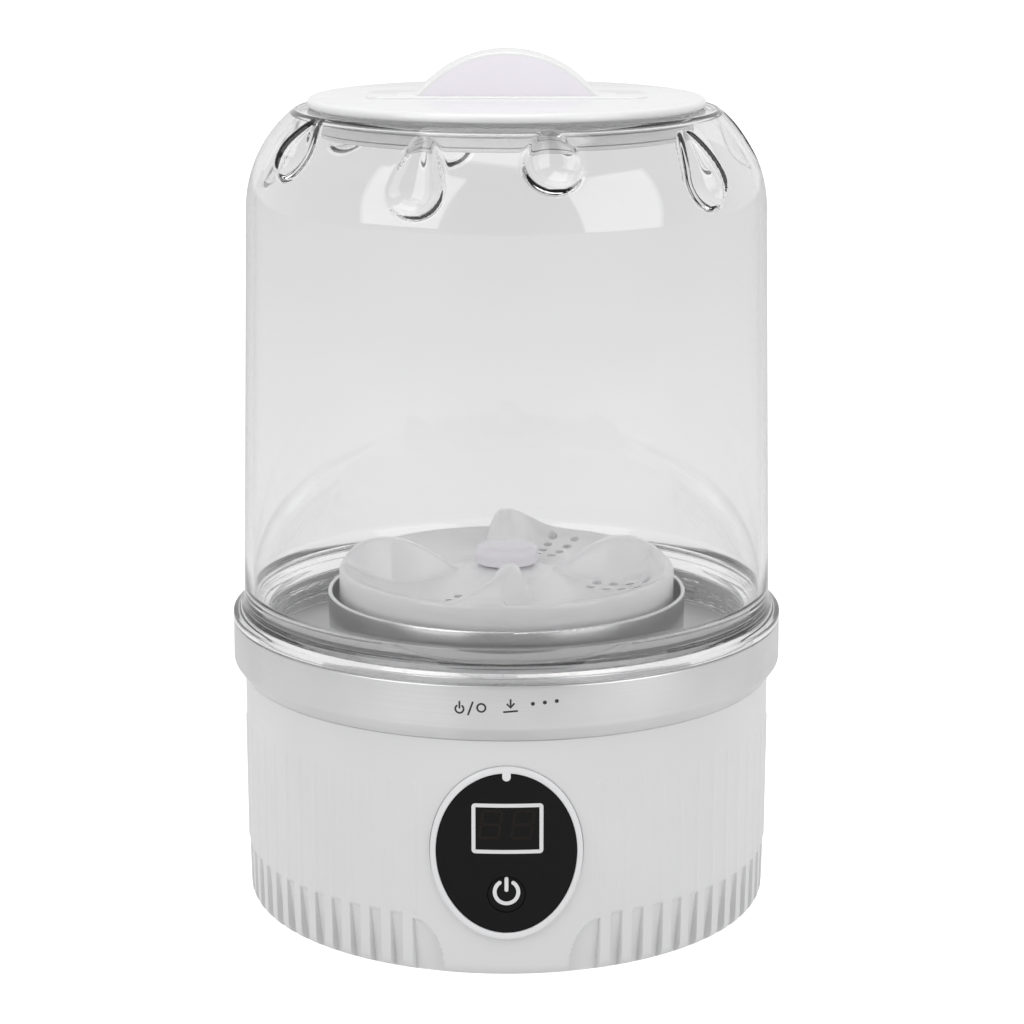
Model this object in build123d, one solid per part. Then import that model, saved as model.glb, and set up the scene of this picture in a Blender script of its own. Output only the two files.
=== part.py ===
from build123d import *

import os
from math import acos, asin, atan2, cos, degrees, hypot, pi, radians, sin, tan

# A portable mini washer: a clear tub screwed down onto a round motor base, a lift-off lid, and an
# impeller driven through a two-stage gear train. Millimetres, +Z up, front facing -Y, and the
# origin on the table at the centre of the base.

# ---- Base ----
BODY_R = 72.0  # the white shell at its top
SHELL_LOW = 0.3  # the shell's bottom edge, a little above the feet
SHELL_TOP = 64.4
SHELL_WALL = 2.5
FOOT_BAND = 15.0  # the thick band at the foot of the shell, which the scoops are cut into
FLUTE_PITCH = 5.0  # degrees
FLUTE_START = 18.5  # degrees either side of the front, which stays smooth for the panel
FLUTES_A_SIDE = 32
FLUTE_TOP = 53.0
FLUTE_DEPTH = 0.35
SCOOP_TOP = 16.2
SCOOP_WIDTH = 3.2
SCOOP_DEPTHS = (0.6, 2.9)  # under the shell's radius, at a scoop's top and on the table
WIDE_SCOOP = (24.4, 1.2)  # the middle of the oval that bounds the wide scoops beside the smooth front
WIDE_SCOOP_HALF = (8.0, 13.6)

BAND_BORE = 66.6  # inside the thick foot band
LUG_R = 62.0  # the inner lugs that the cover and the tray are screwed to
LUG_ANGLES = [45, 135, 225, 315]
COVER_LOW = 2.6
COVER_THICK = 2.6
FOOT_R = 6.5
FOOT_PLACE = 46.0
FOOT_ANGLES = [0, 90, 180, 270]
INLET_Z = 24.0

# ---- Trim ring and tray ----
RING_R = 75.0
RING_LOW = 64.5
RING_TOP = 79.6
TRAY_FLOOR = 70.0
TRAY_THICK = 2.0
COLLAR_BORE = 69.9
COLLAR_TOP = 78.8

# ---- Tub ----
FLANGE_LOW = 79.9
FLANGE_TOP = 81.7
FLARE_TOP = 88.6
TUB_FOOT_R = 71.9
TUB_SHOULDER_R = 69.5
TUB_SHOULDER_Z = 191.0
SHOULDER_ARC = 33.5
TUB_WALL = 2.2
SEAT_R = 56.2  # the flat seat that the lid rests on
SEAT_Z = 217.3
MOUTH_R = 49.9
NECK_R = 68.2
NECK_LOW = 70.7

# ---- Tub thread: four starts, right-handed ----
STARTS = 4
THREAD_PITCH = 3.4
LEAD = STARTS * THREAD_PITCH
THREAD_DEPTH = 1.2
THREAD_ROOT_WIDTH = 1.5
THREAD_CREST_WIDTH = 0.7
THREAD_LOW = 72.0
NECK_THREAD_HEIGHT = 5.6
COLLAR_THREAD_HEIGHT = 4.0

# ---- Dents pressed into the tub's shoulder, low and high in turn ----
LOW_DENTS = [-20, 50, 124, -165, -100]  # degrees round from the front, to the right
HIGH_DENTS = [-59, 10.6, 87, 160, -134]
HIGH_LIFT = 8.0  # degrees further up the shoulder's arc
DENT_FOOT = 21.5  # where the round foot lies on the arc, in degrees
DENT_TIP = 42.0
DENT_FOOT_R = 9.5
DENT_TIP_R = 3.0
DENT_FOOT_DEPTH = 2.5
DENT_TIP_DEPTH = 0.6

# ---- Lid ----
LID_R = 53.0
LID_LOW = 217.5
LID_TOP = 220.7
BAR_TOP = 221.3
GRIP_TOP = 232.8
GRIP_HALF = 23.8
GRIP_THICK = 15.0
INSET_DEPTH = 0.6
PLUG_R = 49.3

# ---- Impeller ----
IMPELLER_R = 45.95
IMPELLER_TOP = 93.0
IMPELLER_LOW = 84.6
VANE_CREST = [  # radius and height along a vane's crest
    (14.0, 92.0), (21.0, 96.6), (27.0, 99.8), (32.0, 100.5), (37.8, 99.6), (42.2, 97.0), (45.3, 93.4)
]  # fmt: skip
VANE_FOOT = 88.6
VANE_CREST_HALF = 0.8
VANE_STEEP_RUN = 0.35  # how far a vane's steep side reaches for its height
VANE_LONG_RUN = 0.8
HUB_R = 8.0
CAP_R = 8.75
CAP_TOP = 98.4
HOLE_R = 1.3
HOLE_RADII = [26.1, 30.8, 35.5, 40.2]
HOLE_ANGLES = [-16.6, -26.3]  # clockwise of each vane
VANE_ANGLES = [-3, 87, 177, 267]
SHROUD_R = 49.1
SHROUD_TOP = 86.6

# ---- Drive ----
SHAFT_R = 3.0
SHAFT_LOW = 50.9
SHAFT_TOP = 90.0
RUNNING = 0.05  # radial clearance of every shaft in its bearing
MODULE = 0.8
WHEEL_TEETH = 40
PINION_TEETH = 12
GEAR_CENTRES = MODULE * (WHEEL_TEETH + PINION_TEETH) / 2
FIRST_STAGE_Z = 46.2
SECOND_STAGE_Z = 51.2
GEAR_WIDTH = 3.6
PIN_R = 1.5
MOTOR_SHAFT_R = 1.0
MOTOR_R = 14.0
MOTOR_LOW = 11.0
MOTOR_TOP = 42.8
CASE_LOW = 43.0
CASE_TOP = 58.0
CASE_WALL = 1.8
COVER_TOP = 60.5
CASE_SCREWS = [(-17.0, 17.0), (-17.0, -17.0), (37.8, 17.0), (37.8, -17.0)]

# ---- Panel ----
PANEL_Z = 34.4
LENS_HALF = (18.1, 21.45)
BEZEL_HALF = (19.7, 23.3)
WINDOW_Z = 40.9
BUTTON_Z = 23.4
BUTTON_R = 4.9
LENS_FACE_R = 72.5
BEZEL_FACE_R = 72.9
LENS_BACK_R = 70.4
BOARD_FACE = 62.6

UP = (Align.CENTER, Align.CENTER, Align.MIN)


def drum(radius, low, high, x=0.0, y=0.0):
    """A solid cylinder standing from low to high."""
    return Pos(x, y, low) * Cylinder(radius, high - low, align=UP)


def tube(inner, outer, low, high, x=0.0, y=0.0):
    """A plain ring standing from low to high."""
    return drum(outer, low, high, x, y) - drum(inner, low, high, x, y)


def block(x0, x1, y0, y1, z0, z1):
    """A box given by its faces."""
    return Pos(x0, y0, z0) * Box(x1 - x0, y1 - y0, z1 - z0, align=(Align.MIN,) * 3)


def turned(outline, rounds=()):
    """A closed (radius, height) outline turned about Z, with (corner, radius) roundings."""
    face = make_face(Polyline(*outline, close=True))
    for corner, radius in rounds:
        vertex = face.vertices().sort_by_distance(Vector(*corner, 0))[0]
        face = fillet(vertex, radius)
    return revolve(Plane.XZ * face, Axis.Z)


def around(shape, angles):
    """Copies of a shape turned about Z to each angle, in degrees."""
    return [Rot(0, 0, angle) * shape for angle in angles]


def front_oval(half, low_r, high_r, z=PANEL_Z):
    """An oval patch of the front wall between two radii."""
    prism = extrude(Plane.XZ * Pos(0, z) * Ellipse(*half), amount=BODY_R + 10)
    return prism & tube(low_r, high_r, z - half[1] - 1, z + half[1] + 1)


# ---------------------------------------------------------------- base


def flute_angles():
    """Every flute's angle round from the front."""
    side = [FLUTE_START + FLUTE_PITCH * i for i in range(FLUTES_A_SIDE)]
    return [-a for a in side] + side


def flute():
    """The cutter of one shallow flute: an upright rod that only grazes the wall, with a round top."""
    half = SCOOP_WIDTH / 2
    rod_r = (half**2 + FLUTE_DEPTH**2) / (2 * FLUTE_DEPTH)
    rod = Cylinder(rod_r, FLUTE_TOP, align=UP) + Pos(0, 0, FLUTE_TOP) * Sphere(rod_r)
    return Pos(0, -(BODY_R - 0.25 + rod_r - FLUTE_DEPTH), 0) * rod


def scoop_ring():
    """All that lies outside the cone of the scoops' floors."""
    top, low = (BODY_R - depth for depth in SCOOP_DEPTHS)
    return turned([(low, 0), (BODY_R + 8, 0), (BODY_R + 8, SCOOP_TOP), (top, SCOOP_TOP)])


def scoop():
    """The cutter of one scoop at the foot, which gets deeper towards the bottom."""
    half = SCOOP_WIDTH / 2
    return scoop_ring() & block(-half, half, -BODY_R - 8, 0, 0, SCOOP_TOP)


def wide_scoops():
    """The cutters of the two wide scoops beside the smooth front, each bounded by part of an oval."""
    middle, height = WIDE_SCOOP
    oval = extrude(Plane.XZ * Pos(middle, height) * Ellipse(*WIDE_SCOOP_HALF), amount=BODY_R + 8)
    right = scoop_ring() & oval & block(0, middle, -BODY_R - 8, 0, 0, SCOOP_TOP)
    return [right, mirror(right, about=Plane.YZ)]


def base_shell():
    """The white fluted housing, open at the top for the tray and closed below by its cover."""
    inner = BODY_R - SHELL_WALL
    outline = [(BAND_BORE, SHELL_LOW), (71.4, SHELL_LOW), (71.75, 12), (BODY_R, SHELL_TOP)]
    outline += [(inner, SHELL_TOP), (inner, FOOT_BAND + 3), (BAND_BORE, FOOT_BAND)]
    body = turned(outline, [((71.4, SHELL_LOW), 3.6)])
    body -= around(flute(), flute_angles())
    body -= around(scoop(), flute_angles()[1:FLUTES_A_SIDE] + flute_angles()[FLUTES_A_SIDE + 1 :])
    body -= wide_scoops()
    body -= front_oval([h + 0.05 for h in BEZEL_HALF], 60, 80)
    body -= extrude(Plane.XZ * Pos(0, INLET_Z) * SlotOverall(9.6, 3.8), amount=-80)
    # Two sets of lugs stand in from the wall: the low ones hold the cover, the high ones the tray.
    for angle in LUG_ANGLES:
        low_lug = block(LUG_R - 4, inner + 0.5, -4, 4, 6.0, 20)
        low_lug -= drum(1.2, 6, 17, LUG_R)
        high_lug = block(LUG_R - 4, inner + 0.5, -4, 4, 44, 54)
        high_lug -= drum(1.9, 44, 54, LUG_R)
        lugs = (low_lug + high_lug) - tube(inner + 0.3, 80, 0, 70)
        body += Rot(0, 0, angle) * lugs
    return body


def bottom_cover():
    """The round cover under the base, with screw holes, foot pockets and a ring of air slots."""
    top = COVER_LOW + COVER_THICK
    cover = drum(66.4, COVER_LOW, top)
    cover += around(tube(1.8, 4.0, top, 5.9, LUG_R), LUG_ANGLES)
    cover -= around(drum(1.8, 0, 8, LUG_R), LUG_ANGLES)
    cover -= around(drum(3.3, 0, COVER_LOW + 1.2, LUG_R), LUG_ANGLES)
    for angle in FOOT_ANGLES:
        cover -= Rot(0, 0, angle) * drum(FOOT_R + 0.1, 0, COVER_LOW + 1.0, FOOT_PLACE)
    slot = extrude(Plane.XY * SlotOverall(12, 2), amount=10)
    cover -= [Rot(0, 0, 15 * i) * Pos(24, 0, 0) * slot for i in range(24) if i % 2 == 0]
    return cover


def rubber_feet():
    """Four soft round feet, set into the cover's pockets."""
    low, high = 0.0, COVER_LOW + 0.95
    foot = turned([(0, low), (FOOT_R, low), (FOOT_R, high), (0, high)], [((FOOT_R, low), 0.8)])
    return around(Pos(FOOT_PLACE, 0, 0) * foot, FOOT_ANGLES)


def screw(head_r, head_z, shank_r, tip_z, head_height=1.6):
    """A pan-head screw on the Z axis, its head at head_z and its tip at tip_z, with a cross slot."""
    if tip_z > head_z:
        head = drum(head_r, head_z - head_height, head_z)
        slot_z = head_z - head_height
    else:
        head = drum(head_r, head_z, head_z + head_height)
        slot_z = head_z + head_height
    head -= Pos(0, 0, slot_z) * Box(head_r * 1.3, 0.7, 1.2)
    head -= Pos(0, 0, slot_z) * Box(0.7, head_r * 1.3, 1.2)
    return head + drum(shank_r, min(head_z, tip_z), max(head_z, tip_z))


def cover_screws():
    """Four screws through the cover into the low lugs."""
    one = Pos(LUG_R, 0, 0) * screw(2.8, COVER_LOW + 1.15, 1.15, 15)
    return around(one, LUG_ANGLES)


def tray_screws():
    """Four screws up through the high lugs into the tray's posts."""
    one = Pos(LUG_R, 0, 0) * screw(3.2, 43.95, 1.15, 63)
    return around(one, LUG_ANGLES)


def trim_ring():
    """The silver band between the white shell and the tub, stepping out from one to the other."""
    outline = [(69.6, RING_LOW), (72.3, RING_LOW), (RING_R + 0.1, RING_LOW + 3.9), (RING_R, RING_TOP)]
    outline += [(72.75, RING_TOP), (72.75, 66.7), (69.6, 66.7)]
    rounds = [((RING_R + 0.1, RING_LOW + 3.9), 2.0), ((RING_R, RING_TOP), 0.5)]
    return turned(outline, rounds)


def thread(surface_r, outward, low, height):
    """Four helical ridges on a wall: outward ridges stand on a neck, the others inside a bore."""
    way = 1 if outward else -1
    root, crest = THREAD_ROOT_WIDTH / 2, THREAD_CREST_WIDTH / 2
    section = [(-0.4 * way, -root), (0, -root), (THREAD_DEPTH * way, -crest)]
    section += [(THREAD_DEPTH * way, crest), (0, root), (-0.4 * way, root)]
    path = Helix(pitch=LEAD, height=height, radius=surface_r)
    across = Plane(origin=path @ 0, x_dir=(1, 0, 0), z_dir=path % 0)
    ridge = sweep(across * make_face(Polyline(*section, close=True)), path=path, is_frenet=True)
    return [Rot(0, 0, 90 * i) * Pos(0, 0, low) * ridge for i in range(STARTS)]


def drum_tray():
    """The tray under the tub: its floor, the threaded collar, the shaft boss and the screw posts."""
    under = TRAY_FLOOR - TRAY_THICK
    tray = drum(72.3, under, TRAY_FLOOR) + tube(COLLAR_BORE, 72.3, TRAY_FLOOR, COLLAR_TOP)
    tray += tube(66.4, 69.2, 60.0, under)
    tray += tube(50.2, 56.0, TRAY_FLOOR, TRAY_FLOOR + 0.8)
    tray += drum(9.0, under, 80.0) + drum(9.0, COVER_TOP + 0.3, under)
    tray += around(tube(1.2, 4.0, 54.1, under, LUG_R), LUG_ANGLES)
    tray += [tube(1.1, 3.2, COVER_TOP, under, x, y) for x, y in CASE_SCREWS]
    tray += thread(COLLAR_BORE, False, THREAD_LOW + THREAD_PITCH / 2, COLLAR_THREAD_HEIGHT)
    tray -= drum(4.2, COVER_TOP, 81) + drum(6.6, 73.4, 81) + drum(5.6, 56, 66.6)
    return tray


def impeller_shroud():
    """The steel ring round the impeller, standing on the tray."""
    low = TRAY_FLOOR
    outline = [(SHROUD_R - 1.2, low), (SHROUD_R, low), (SHROUD_R, SHROUD_TOP), (SHROUD_R - 1.2, SHROUD_TOP)]
    rounds = [((SHROUD_R, SHROUD_TOP), 0.5), ((SHROUD_R - 1.2, SHROUD_TOP), 0.5)]
    return turned(outline, rounds)


def shaft_seal():
    """The lip seal pressed into the boss, which keeps the water off the gears."""
    return turned([(SHAFT_R + 0.08, 75.0), (5.2, 76.2), (6.55, 76.2), (6.55, 73.4), (SHAFT_R + 0.08, 73.4)])


def upper_bush():
    """The bronze bush below the seal."""
    return tube(SHAFT_R + RUNNING, 4.15, 66.8, 73.3)


# ---------------------------------------------------------------- drive


def gear_outline(teeth, gap_first):
    """A gear's involute outline, with a tooth or a gap on +X, and some backlash."""
    pitch_r = MODULE * teeth / 2
    base_r = pitch_r * cos(radians(20))
    tip_r = pitch_r + 0.7 * MODULE
    root_r = pitch_r - 1.0 * MODULE
    backlash = 0.09 / pitch_r
    half_pitch = pi / (2 * teeth) - backlash
    start_r = max(base_r, root_r)

    def flank(radius):
        """The half angle of a tooth at a radius."""
        involute = tan(acos(base_r / radius)) - acos(base_r / radius)
        at_pitch = tan(radians(20)) - radians(20)
        return half_pitch + at_pitch - involute

    radii = [start_r + (tip_r - start_r) * k / 3 for k in range(4)]
    side = [(r, flank(r)) for r in radii]
    if root_r < start_r:
        side.insert(0, (root_r, flank(start_r)))
    points = []
    for tooth in range(teeth):
        middle = 2 * pi * (tooth + (0.5 if gap_first else 0)) / teeth
        points += [(r, middle - a) for r, a in side]
        points += [(r, middle + a) for r, a in reversed(side)]
    return [(r * cos(a), r * sin(a)) for r, a in points]


def gear(teeth, low, bore, gap_first=False, width=GEAR_WIDTH):
    """A spur gear on the Z axis, standing on low."""
    face = make_face(Polyline(*gear_outline(teeth, gap_first), close=True))
    return Pos(0, 0, low) * extrude(face, amount=width) - drum(bore, low, low + width)


def output_gear():
    """The large wheel on the output shaft, with its hub."""
    wheel = gear(WHEEL_TEETH, SECOND_STAGE_Z, SHAFT_R, gap_first=True)
    return wheel + tube(SHAFT_R, 5.2, SECOND_STAGE_Z + GEAR_WIDTH, 57.0)


def idler_gear():
    """The compound wheel between the motor and the output: a wheel below, a pinion above."""
    # On the far side of the line of centres, a tooth faces the gap of each neighbour.
    wheel = gear(WHEEL_TEETH, FIRST_STAGE_Z, PIN_R + RUNNING, gap_first=True)
    high = SECOND_STAGE_Z + GEAR_WIDTH + 0.3
    low = FIRST_STAGE_Z + GEAR_WIDTH
    pinion = gear(PINION_TEETH, low, PIN_R + RUNNING, width=high - low)
    return Pos(GEAR_CENTRES, 0, 0) * (wheel + pinion)


def motor_pinion():
    """The brass pinion on the motor shaft."""
    return gear(PINION_TEETH, FIRST_STAGE_Z - 0.2, MOTOR_SHAFT_R, width=GEAR_WIDTH + 0.4)


def case_outline(grow):
    """The gearbox outline: round over the output and round over the idler."""
    both = Circle(19.0 + grow) + Pos(GEAR_CENTRES, 0) * Circle(19.0 + grow)
    return both + Pos(GEAR_CENTRES / 2, 0) * Rectangle(GEAR_CENTRES, 38.0 + 2 * grow)


def gearbox_case():
    """The open gearbox tray, with the motor below it."""
    case = Pos(0, 0, CASE_LOW) * extrude(case_outline(CASE_WALL), amount=CASE_TOP - CASE_LOW)
    case -= Pos(0, 0, CASE_LOW + 2) * extrude(case_outline(0), amount=CASE_TOP)
    case += [tube(1.7, 3.6, CASE_TOP - 3, CASE_TOP, x, y) - gear_space() for x, y in CASE_SCREWS]
    case += drum(3.4, CASE_LOW + 2, CASE_LOW + 2.8, GEAR_CENTRES)
    case -= drum(3.1, CASE_LOW - 1, CASE_LOW + 3)
    case -= drum(PIN_R, CASE_LOW + 0.6, CASE_LOW + 4, GEAR_CENTRES)
    case -= [drum(1.3, CASE_LOW - 1, CASE_LOW + 3, 0, y) for y in (-8, 8)]
    return case


def gear_space():
    """The room inside the gearbox that the wheels turn in."""
    return Pos(0, 0, CASE_LOW + 2) * extrude(case_outline(0), amount=CASE_TOP)


def gearbox_cover():
    """The gearbox lid, which carries the long bush of the output shaft."""
    cover = Pos(0, 0, CASE_TOP) * extrude(case_outline(CASE_WALL), amount=COVER_TOP - CASE_TOP)
    cover += [drum(3.6, CASE_TOP, COVER_TOP, x, y) for x, y in CASE_SCREWS]
    cover -= [drum(1.7, CASE_TOP - 1, COVER_TOP + 1, x, y) for x, y in CASE_SCREWS]
    cover -= drum(5.0, CASE_TOP - 1, COVER_TOP + 1)
    cover -= drum(PIN_R, CASE_TOP - 1, CASE_TOP + 1.6, GEAR_CENTRES)
    return cover


def output_bush():
    """The flanged bronze bush in the gearbox lid."""
    return tube(SHAFT_R + RUNNING, 5.0, CASE_TOP - 0.6, 65.0)


def gear_pin():
    """The steel pin that the idler turns on."""
    return drum(PIN_R, CASE_LOW + 0.7, CASE_TOP + 1.5, GEAR_CENTRES)


def gearbox_screws():
    """Four screws up through the gearbox into the tray's posts."""
    return [Pos(x, y, 0) * screw(2.9, CASE_TOP - 3.05, 1.05, 66) for x, y in CASE_SCREWS]


def motor_screws():
    """Two short screws that hold the motor under the gearbox."""
    return [Pos(0, y, 0) * screw(2.0, CASE_LOW + 2.05, 0.95, 41.0, 0.9) for y in (-8, 8)]


def output_shaft():
    """The steel shaft from the output wheel to the impeller, flatted and tapped at its top."""
    shaft = drum(SHAFT_R, SHAFT_LOW, SHAFT_TOP)
    shaft -= block(2.3, 4, -4, 4, 82.0, SHAFT_TOP + 1)
    return shaft - drum(1.2, SHAFT_TOP - 8, SHAFT_TOP + 1)


def motor_can():
    """The steel can of the motor, with its nose and two tapped holes on top."""
    can = drum(MOTOR_R, MOTOR_LOW + 2.5, MOTOR_TOP) - drum(MOTOR_R - 1, 0, MOTOR_TOP - 1.4)
    can += drum(3.0, MOTOR_TOP, CASE_LOW + 1.8)
    can -= drum(2.6, MOTOR_TOP - 3, CASE_LOW + 1.2) + drum(1.4, MOTOR_TOP, CASE_LOW + 3)
    can -= [drum(1.0, MOTOR_TOP - 3, MOTOR_TOP + 1, 0, y) for y in (-8, 8)]
    return can


def motor_end_cap():
    """The moulded end cap with the motor's two terminals' slots."""
    cap = drum(MOTOR_R, MOTOR_LOW, MOTOR_LOW + 2.4) + drum(MOTOR_R - 1.05, MOTOR_LOW, MOTOR_LOW + 5)
    cap -= drum(2.6, MOTOR_LOW + 1, MOTOR_LOW + 6)
    return cap - [block(x - 0.4, x + 0.4, -1.5, 1.5, MOTOR_LOW - 1, MOTOR_LOW + 6) for x in (-8, 8)]


def motor_terminals():
    """The two brass tabs that the leads are soldered to."""
    return [block(x - 0.3, x + 0.3, -1.4, 1.4, MOTOR_LOW - 3.6, MOTOR_LOW + 5) for x in (-8, 8)]


def motor_bearings():
    """The two sintered bushes of the motor."""
    low = tube(MOTOR_SHAFT_R + RUNNING, 2.55, MOTOR_LOW + 1.1, MOTOR_LOW + 4.6)
    high = tube(MOTOR_SHAFT_R + RUNNING, 2.55, MOTOR_TOP - 1.3, CASE_LOW + 1.1)
    return [low, high]


def motor_magnets():
    """The two curved magnets inside the can."""
    ring = tube(10.8, MOTOR_R - 1.05, 19, 39)
    return [ring & block(-20, 20, 3, 20, 0, 60), ring & block(-20, 20, -20, -3, 0, 60)]


def rotor_shaft():
    """The motor's thin shaft."""
    return drum(MOTOR_SHAFT_R, MOTOR_LOW + 1.3, 50.3)


def rotor_core():
    """The laminated rotor: three poles with their windings left plain."""
    poles = Circle(4.0) + [Rot(0, 0, 120 * i) * Pos(5, 0) * Rectangle(8, 3.4) for i in range(3)]
    shoes = Circle(10.2) - Circle(8.6)
    gaps = [Rot(0, 0, 60 + 120 * i) * Pos(9, 0) * Rectangle(6, 1.6) for i in range(3)]
    core = extrude((poles & Circle(10.2)) + (shoes - gaps) - Circle(MOTOR_SHAFT_R), amount=17)
    return Pos(0, 0, 20.5) * core


def commutator():
    """The copper commutator below the rotor's core."""
    return tube(MOTOR_SHAFT_R, 2.4, 16.2, 20.4)


# ---------------------------------------------------------------- control panel


def panel_bezel():
    """The pale oval frame of the panel, with a small tab at its top."""
    bezel = front_oval(BEZEL_HALF, 69.6, BEZEL_FACE_R)
    bezel -= front_oval([h + 0.03 for h in LENS_HALF], 60, 80)
    tab_z = PANEL_Z + LENS_HALF[1]
    tab = extrude(Plane.XZ * Pos(0, tab_z) * SlotOverall(3.6, 2.2, rotation=90), amount=80)
    tab &= tube(LENS_FACE_R, BEZEL_FACE_R, tab_z - 5, tab_z + 5)
    return bezel + (tab & front_oval(BEZEL_HALF, 60, 80))


def panel_lens():
    """The black window of the panel, with the hole that the button moves in."""
    lens = front_oval(LENS_HALF, LENS_BACK_R, LENS_FACE_R)
    return lens - extrude(Plane.XZ * Pos(0, BUTTON_Z) * Circle(BUTTON_R + 0.1), amount=80)


def power_button():
    """The round button in the window, with the flange that keeps it in and the stem behind."""
    cap = front_oval((BUTTON_R, BUTTON_R), LENS_BACK_R - 0.9, LENS_FACE_R, BUTTON_Z)
    flange = front_oval((5.8, 5.8), LENS_BACK_R - 1.2, LENS_BACK_R - 0.12, BUTTON_Z)
    stem_end = 68.6
    stem = extrude(Plane.XZ.offset(stem_end) * Pos(0, BUTTON_Z) * Circle(1.6), amount=1.4)
    return cap + flange + stem


def control_pcb():
    """The control board behind the panel."""
    board = block(-16.5, 16.5, -BOARD_FACE, -BOARD_FACE + 1.6, 15, 55)
    return board - [extrude(Plane.XZ * Pos(x, 51.5) * Circle(1.1), amount=80) for x in (-14, 14)]


def display_module():
    """The two-digit display behind the window's upper half."""
    return block(-11, 11, -68.6, -BOARD_FACE, WINDOW_Z - 7.5, WINDOW_Z + 7.5)


def tact_switch():
    """The small switch that the button presses."""
    body = block(-3, 3, -66.6, -BOARD_FACE, BUTTON_Z - 3, BUTTON_Z + 3)
    return body + extrude(Plane.XZ.offset(66.6) * Pos(0, BUTTON_Z) * Circle(1.5), amount=1.4)


def main_chip():
    """The controller chip on the back of the board."""
    return block(-5, 5, -BOARD_FACE + 1.6, -BOARD_FACE + 3.0, 30, 40)


def power_inlet():
    """The socket at the back: a flat metal shell on a small board."""
    shell = extrude(Plane.XZ * Pos(0, INLET_Z) * SlotOverall(9.0, 3.2), amount=-71.2)
    shell &= block(-6, 6, 63.4, 71.2, 0, 60)
    hollow = extrude(Plane.XZ * Pos(0, INLET_Z) * SlotOverall(8.4, 2.6), amount=-80)
    hollow &= block(-6, 6, 64.4, 80, 0, 60)
    tongue = block(-3.3, 3.3, 64.4, 70.2, INLET_Z - 0.35, INLET_Z + 0.35)
    return (shell - hollow) + tongue


def inlet_board():
    """The little board that carries the socket."""
    return block(-8, 8, 54.0, 69.0, INLET_Z - 3.2, INLET_Z - 1.6)


# ---------------------------------------------------------------- tub


def shoulder_point(angle, inset=0.0):
    """A point of the shoulder's arc, from 0 at the wall to 90 degrees at the top."""
    centre = TUB_SHOULDER_R - SHOULDER_ARC
    reach = SHOULDER_ARC - inset
    return centre + reach * cos(radians(angle)), TUB_SHOULDER_Z + reach * sin(radians(angle))


def tub_body(inset):
    """The solid inside the tub's outer face, moved in by inset, from the flange to the seat."""
    centre = TUB_SHOULDER_R - SHOULDER_ARC
    seat_r = SEAT_R - 0.6 * inset
    end = degrees(acos((seat_r - centre) / (SHOULDER_ARC - inset)))
    seat = SEAT_Z - inset
    foot = TUB_FOOT_R - inset
    wall = Line((foot, FLARE_TOP), (TUB_SHOULDER_R - inset, TUB_SHOULDER_Z))
    middle, top = shoulder_point(end / 2, inset), shoulder_point(end, inset)
    arc = ThreePointArc(shoulder_point(0, inset), middle, top)
    rest = Polyline(top, (seat_r - 0.4, seat), (0, seat), (0, NECK_LOW - 1))
    if inset:
        bore = NECK_R - TUB_WALL
        low = Polyline((0, NECK_LOW - 1), (bore, NECK_LOW - 1), (bore, FLANGE_TOP), (foot, FLARE_TOP))
    else:
        low = Polyline((0, NECK_LOW - 1), (0, FLANGE_LOW), (RING_R, FLANGE_LOW), (RING_R, FLANGE_TOP))
        low += Spline((RING_R, FLANGE_TOP), (foot, FLARE_TOP), tangents=[(-1, 0.35), (0, 1)])
    return revolve(Plane.XZ * make_face(wall + arc + rest + low), Axis.Z)


def dent(angle, lift, grow):
    """The cutter of one teardrop dent: a large ball below and a small one above, joined by a cone."""
    foot_r, foot_z = shoulder_point(DENT_FOOT + lift, DENT_FOOT_DEPTH - DENT_FOOT_R)
    tip_r, tip_z = shoulder_point(DENT_TIP + lift, DENT_TIP_DEPTH - DENT_TIP_R)
    length = hypot(foot_r - tip_r, tip_z - foot_z)
    lean = degrees(atan2(foot_r - tip_r, tip_z - foot_z))
    ball, tip = DENT_FOOT_R + grow, DENT_TIP_R + grow
    # The cone touches both balls along a circle, which lies above each centre by this slope.
    slope = asin((ball - tip) / length)
    height = length - (ball - tip) * sin(slope)
    cone = Pos(0, 0, ball * sin(slope)) * Cone(ball * cos(slope), tip * cos(slope), height, align=UP)
    drop = Sphere(ball) + cone + Pos(0, 0, length) * Sphere(tip)
    return Rot(0, 0, angle - 90) * Pos(foot_r, 0, foot_z) * Rot(0, -lean, 0) * drop


def dents(grow):
    """Every dent's cutter, grown by the wall's thickness for the inside."""
    low = [dent(angle, 0, grow) for angle in LOW_DENTS]
    return low + [dent(angle, HIGH_LIFT, grow) for angle in HIGH_DENTS]


def tub():
    """The clear tub: foot thread, flange, tall wall, dented shoulder and the lid's seat."""
    outer = tub_body(0) + drum(NECK_R, NECK_LOW, FLANGE_LOW + 0.5)
    inner = tub_body(TUB_WALL)
    outer -= dents(0)
    inner -= dents(TUB_WALL)
    body = outer - inner - drum(MOUTH_R, SEAT_Z - 10, SEAT_Z + 10)
    return body + thread(NECK_R, True, THREAD_LOW, NECK_THREAD_HEIGHT)


def tub_seal():
    """The flat silicone ring between the tub's flange and the collar."""
    return tube(70.0, 72.3, COLLAR_TOP + 0.03, FLANGE_LOW - 0.03)


# ---------------------------------------------------------------- lid


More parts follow.
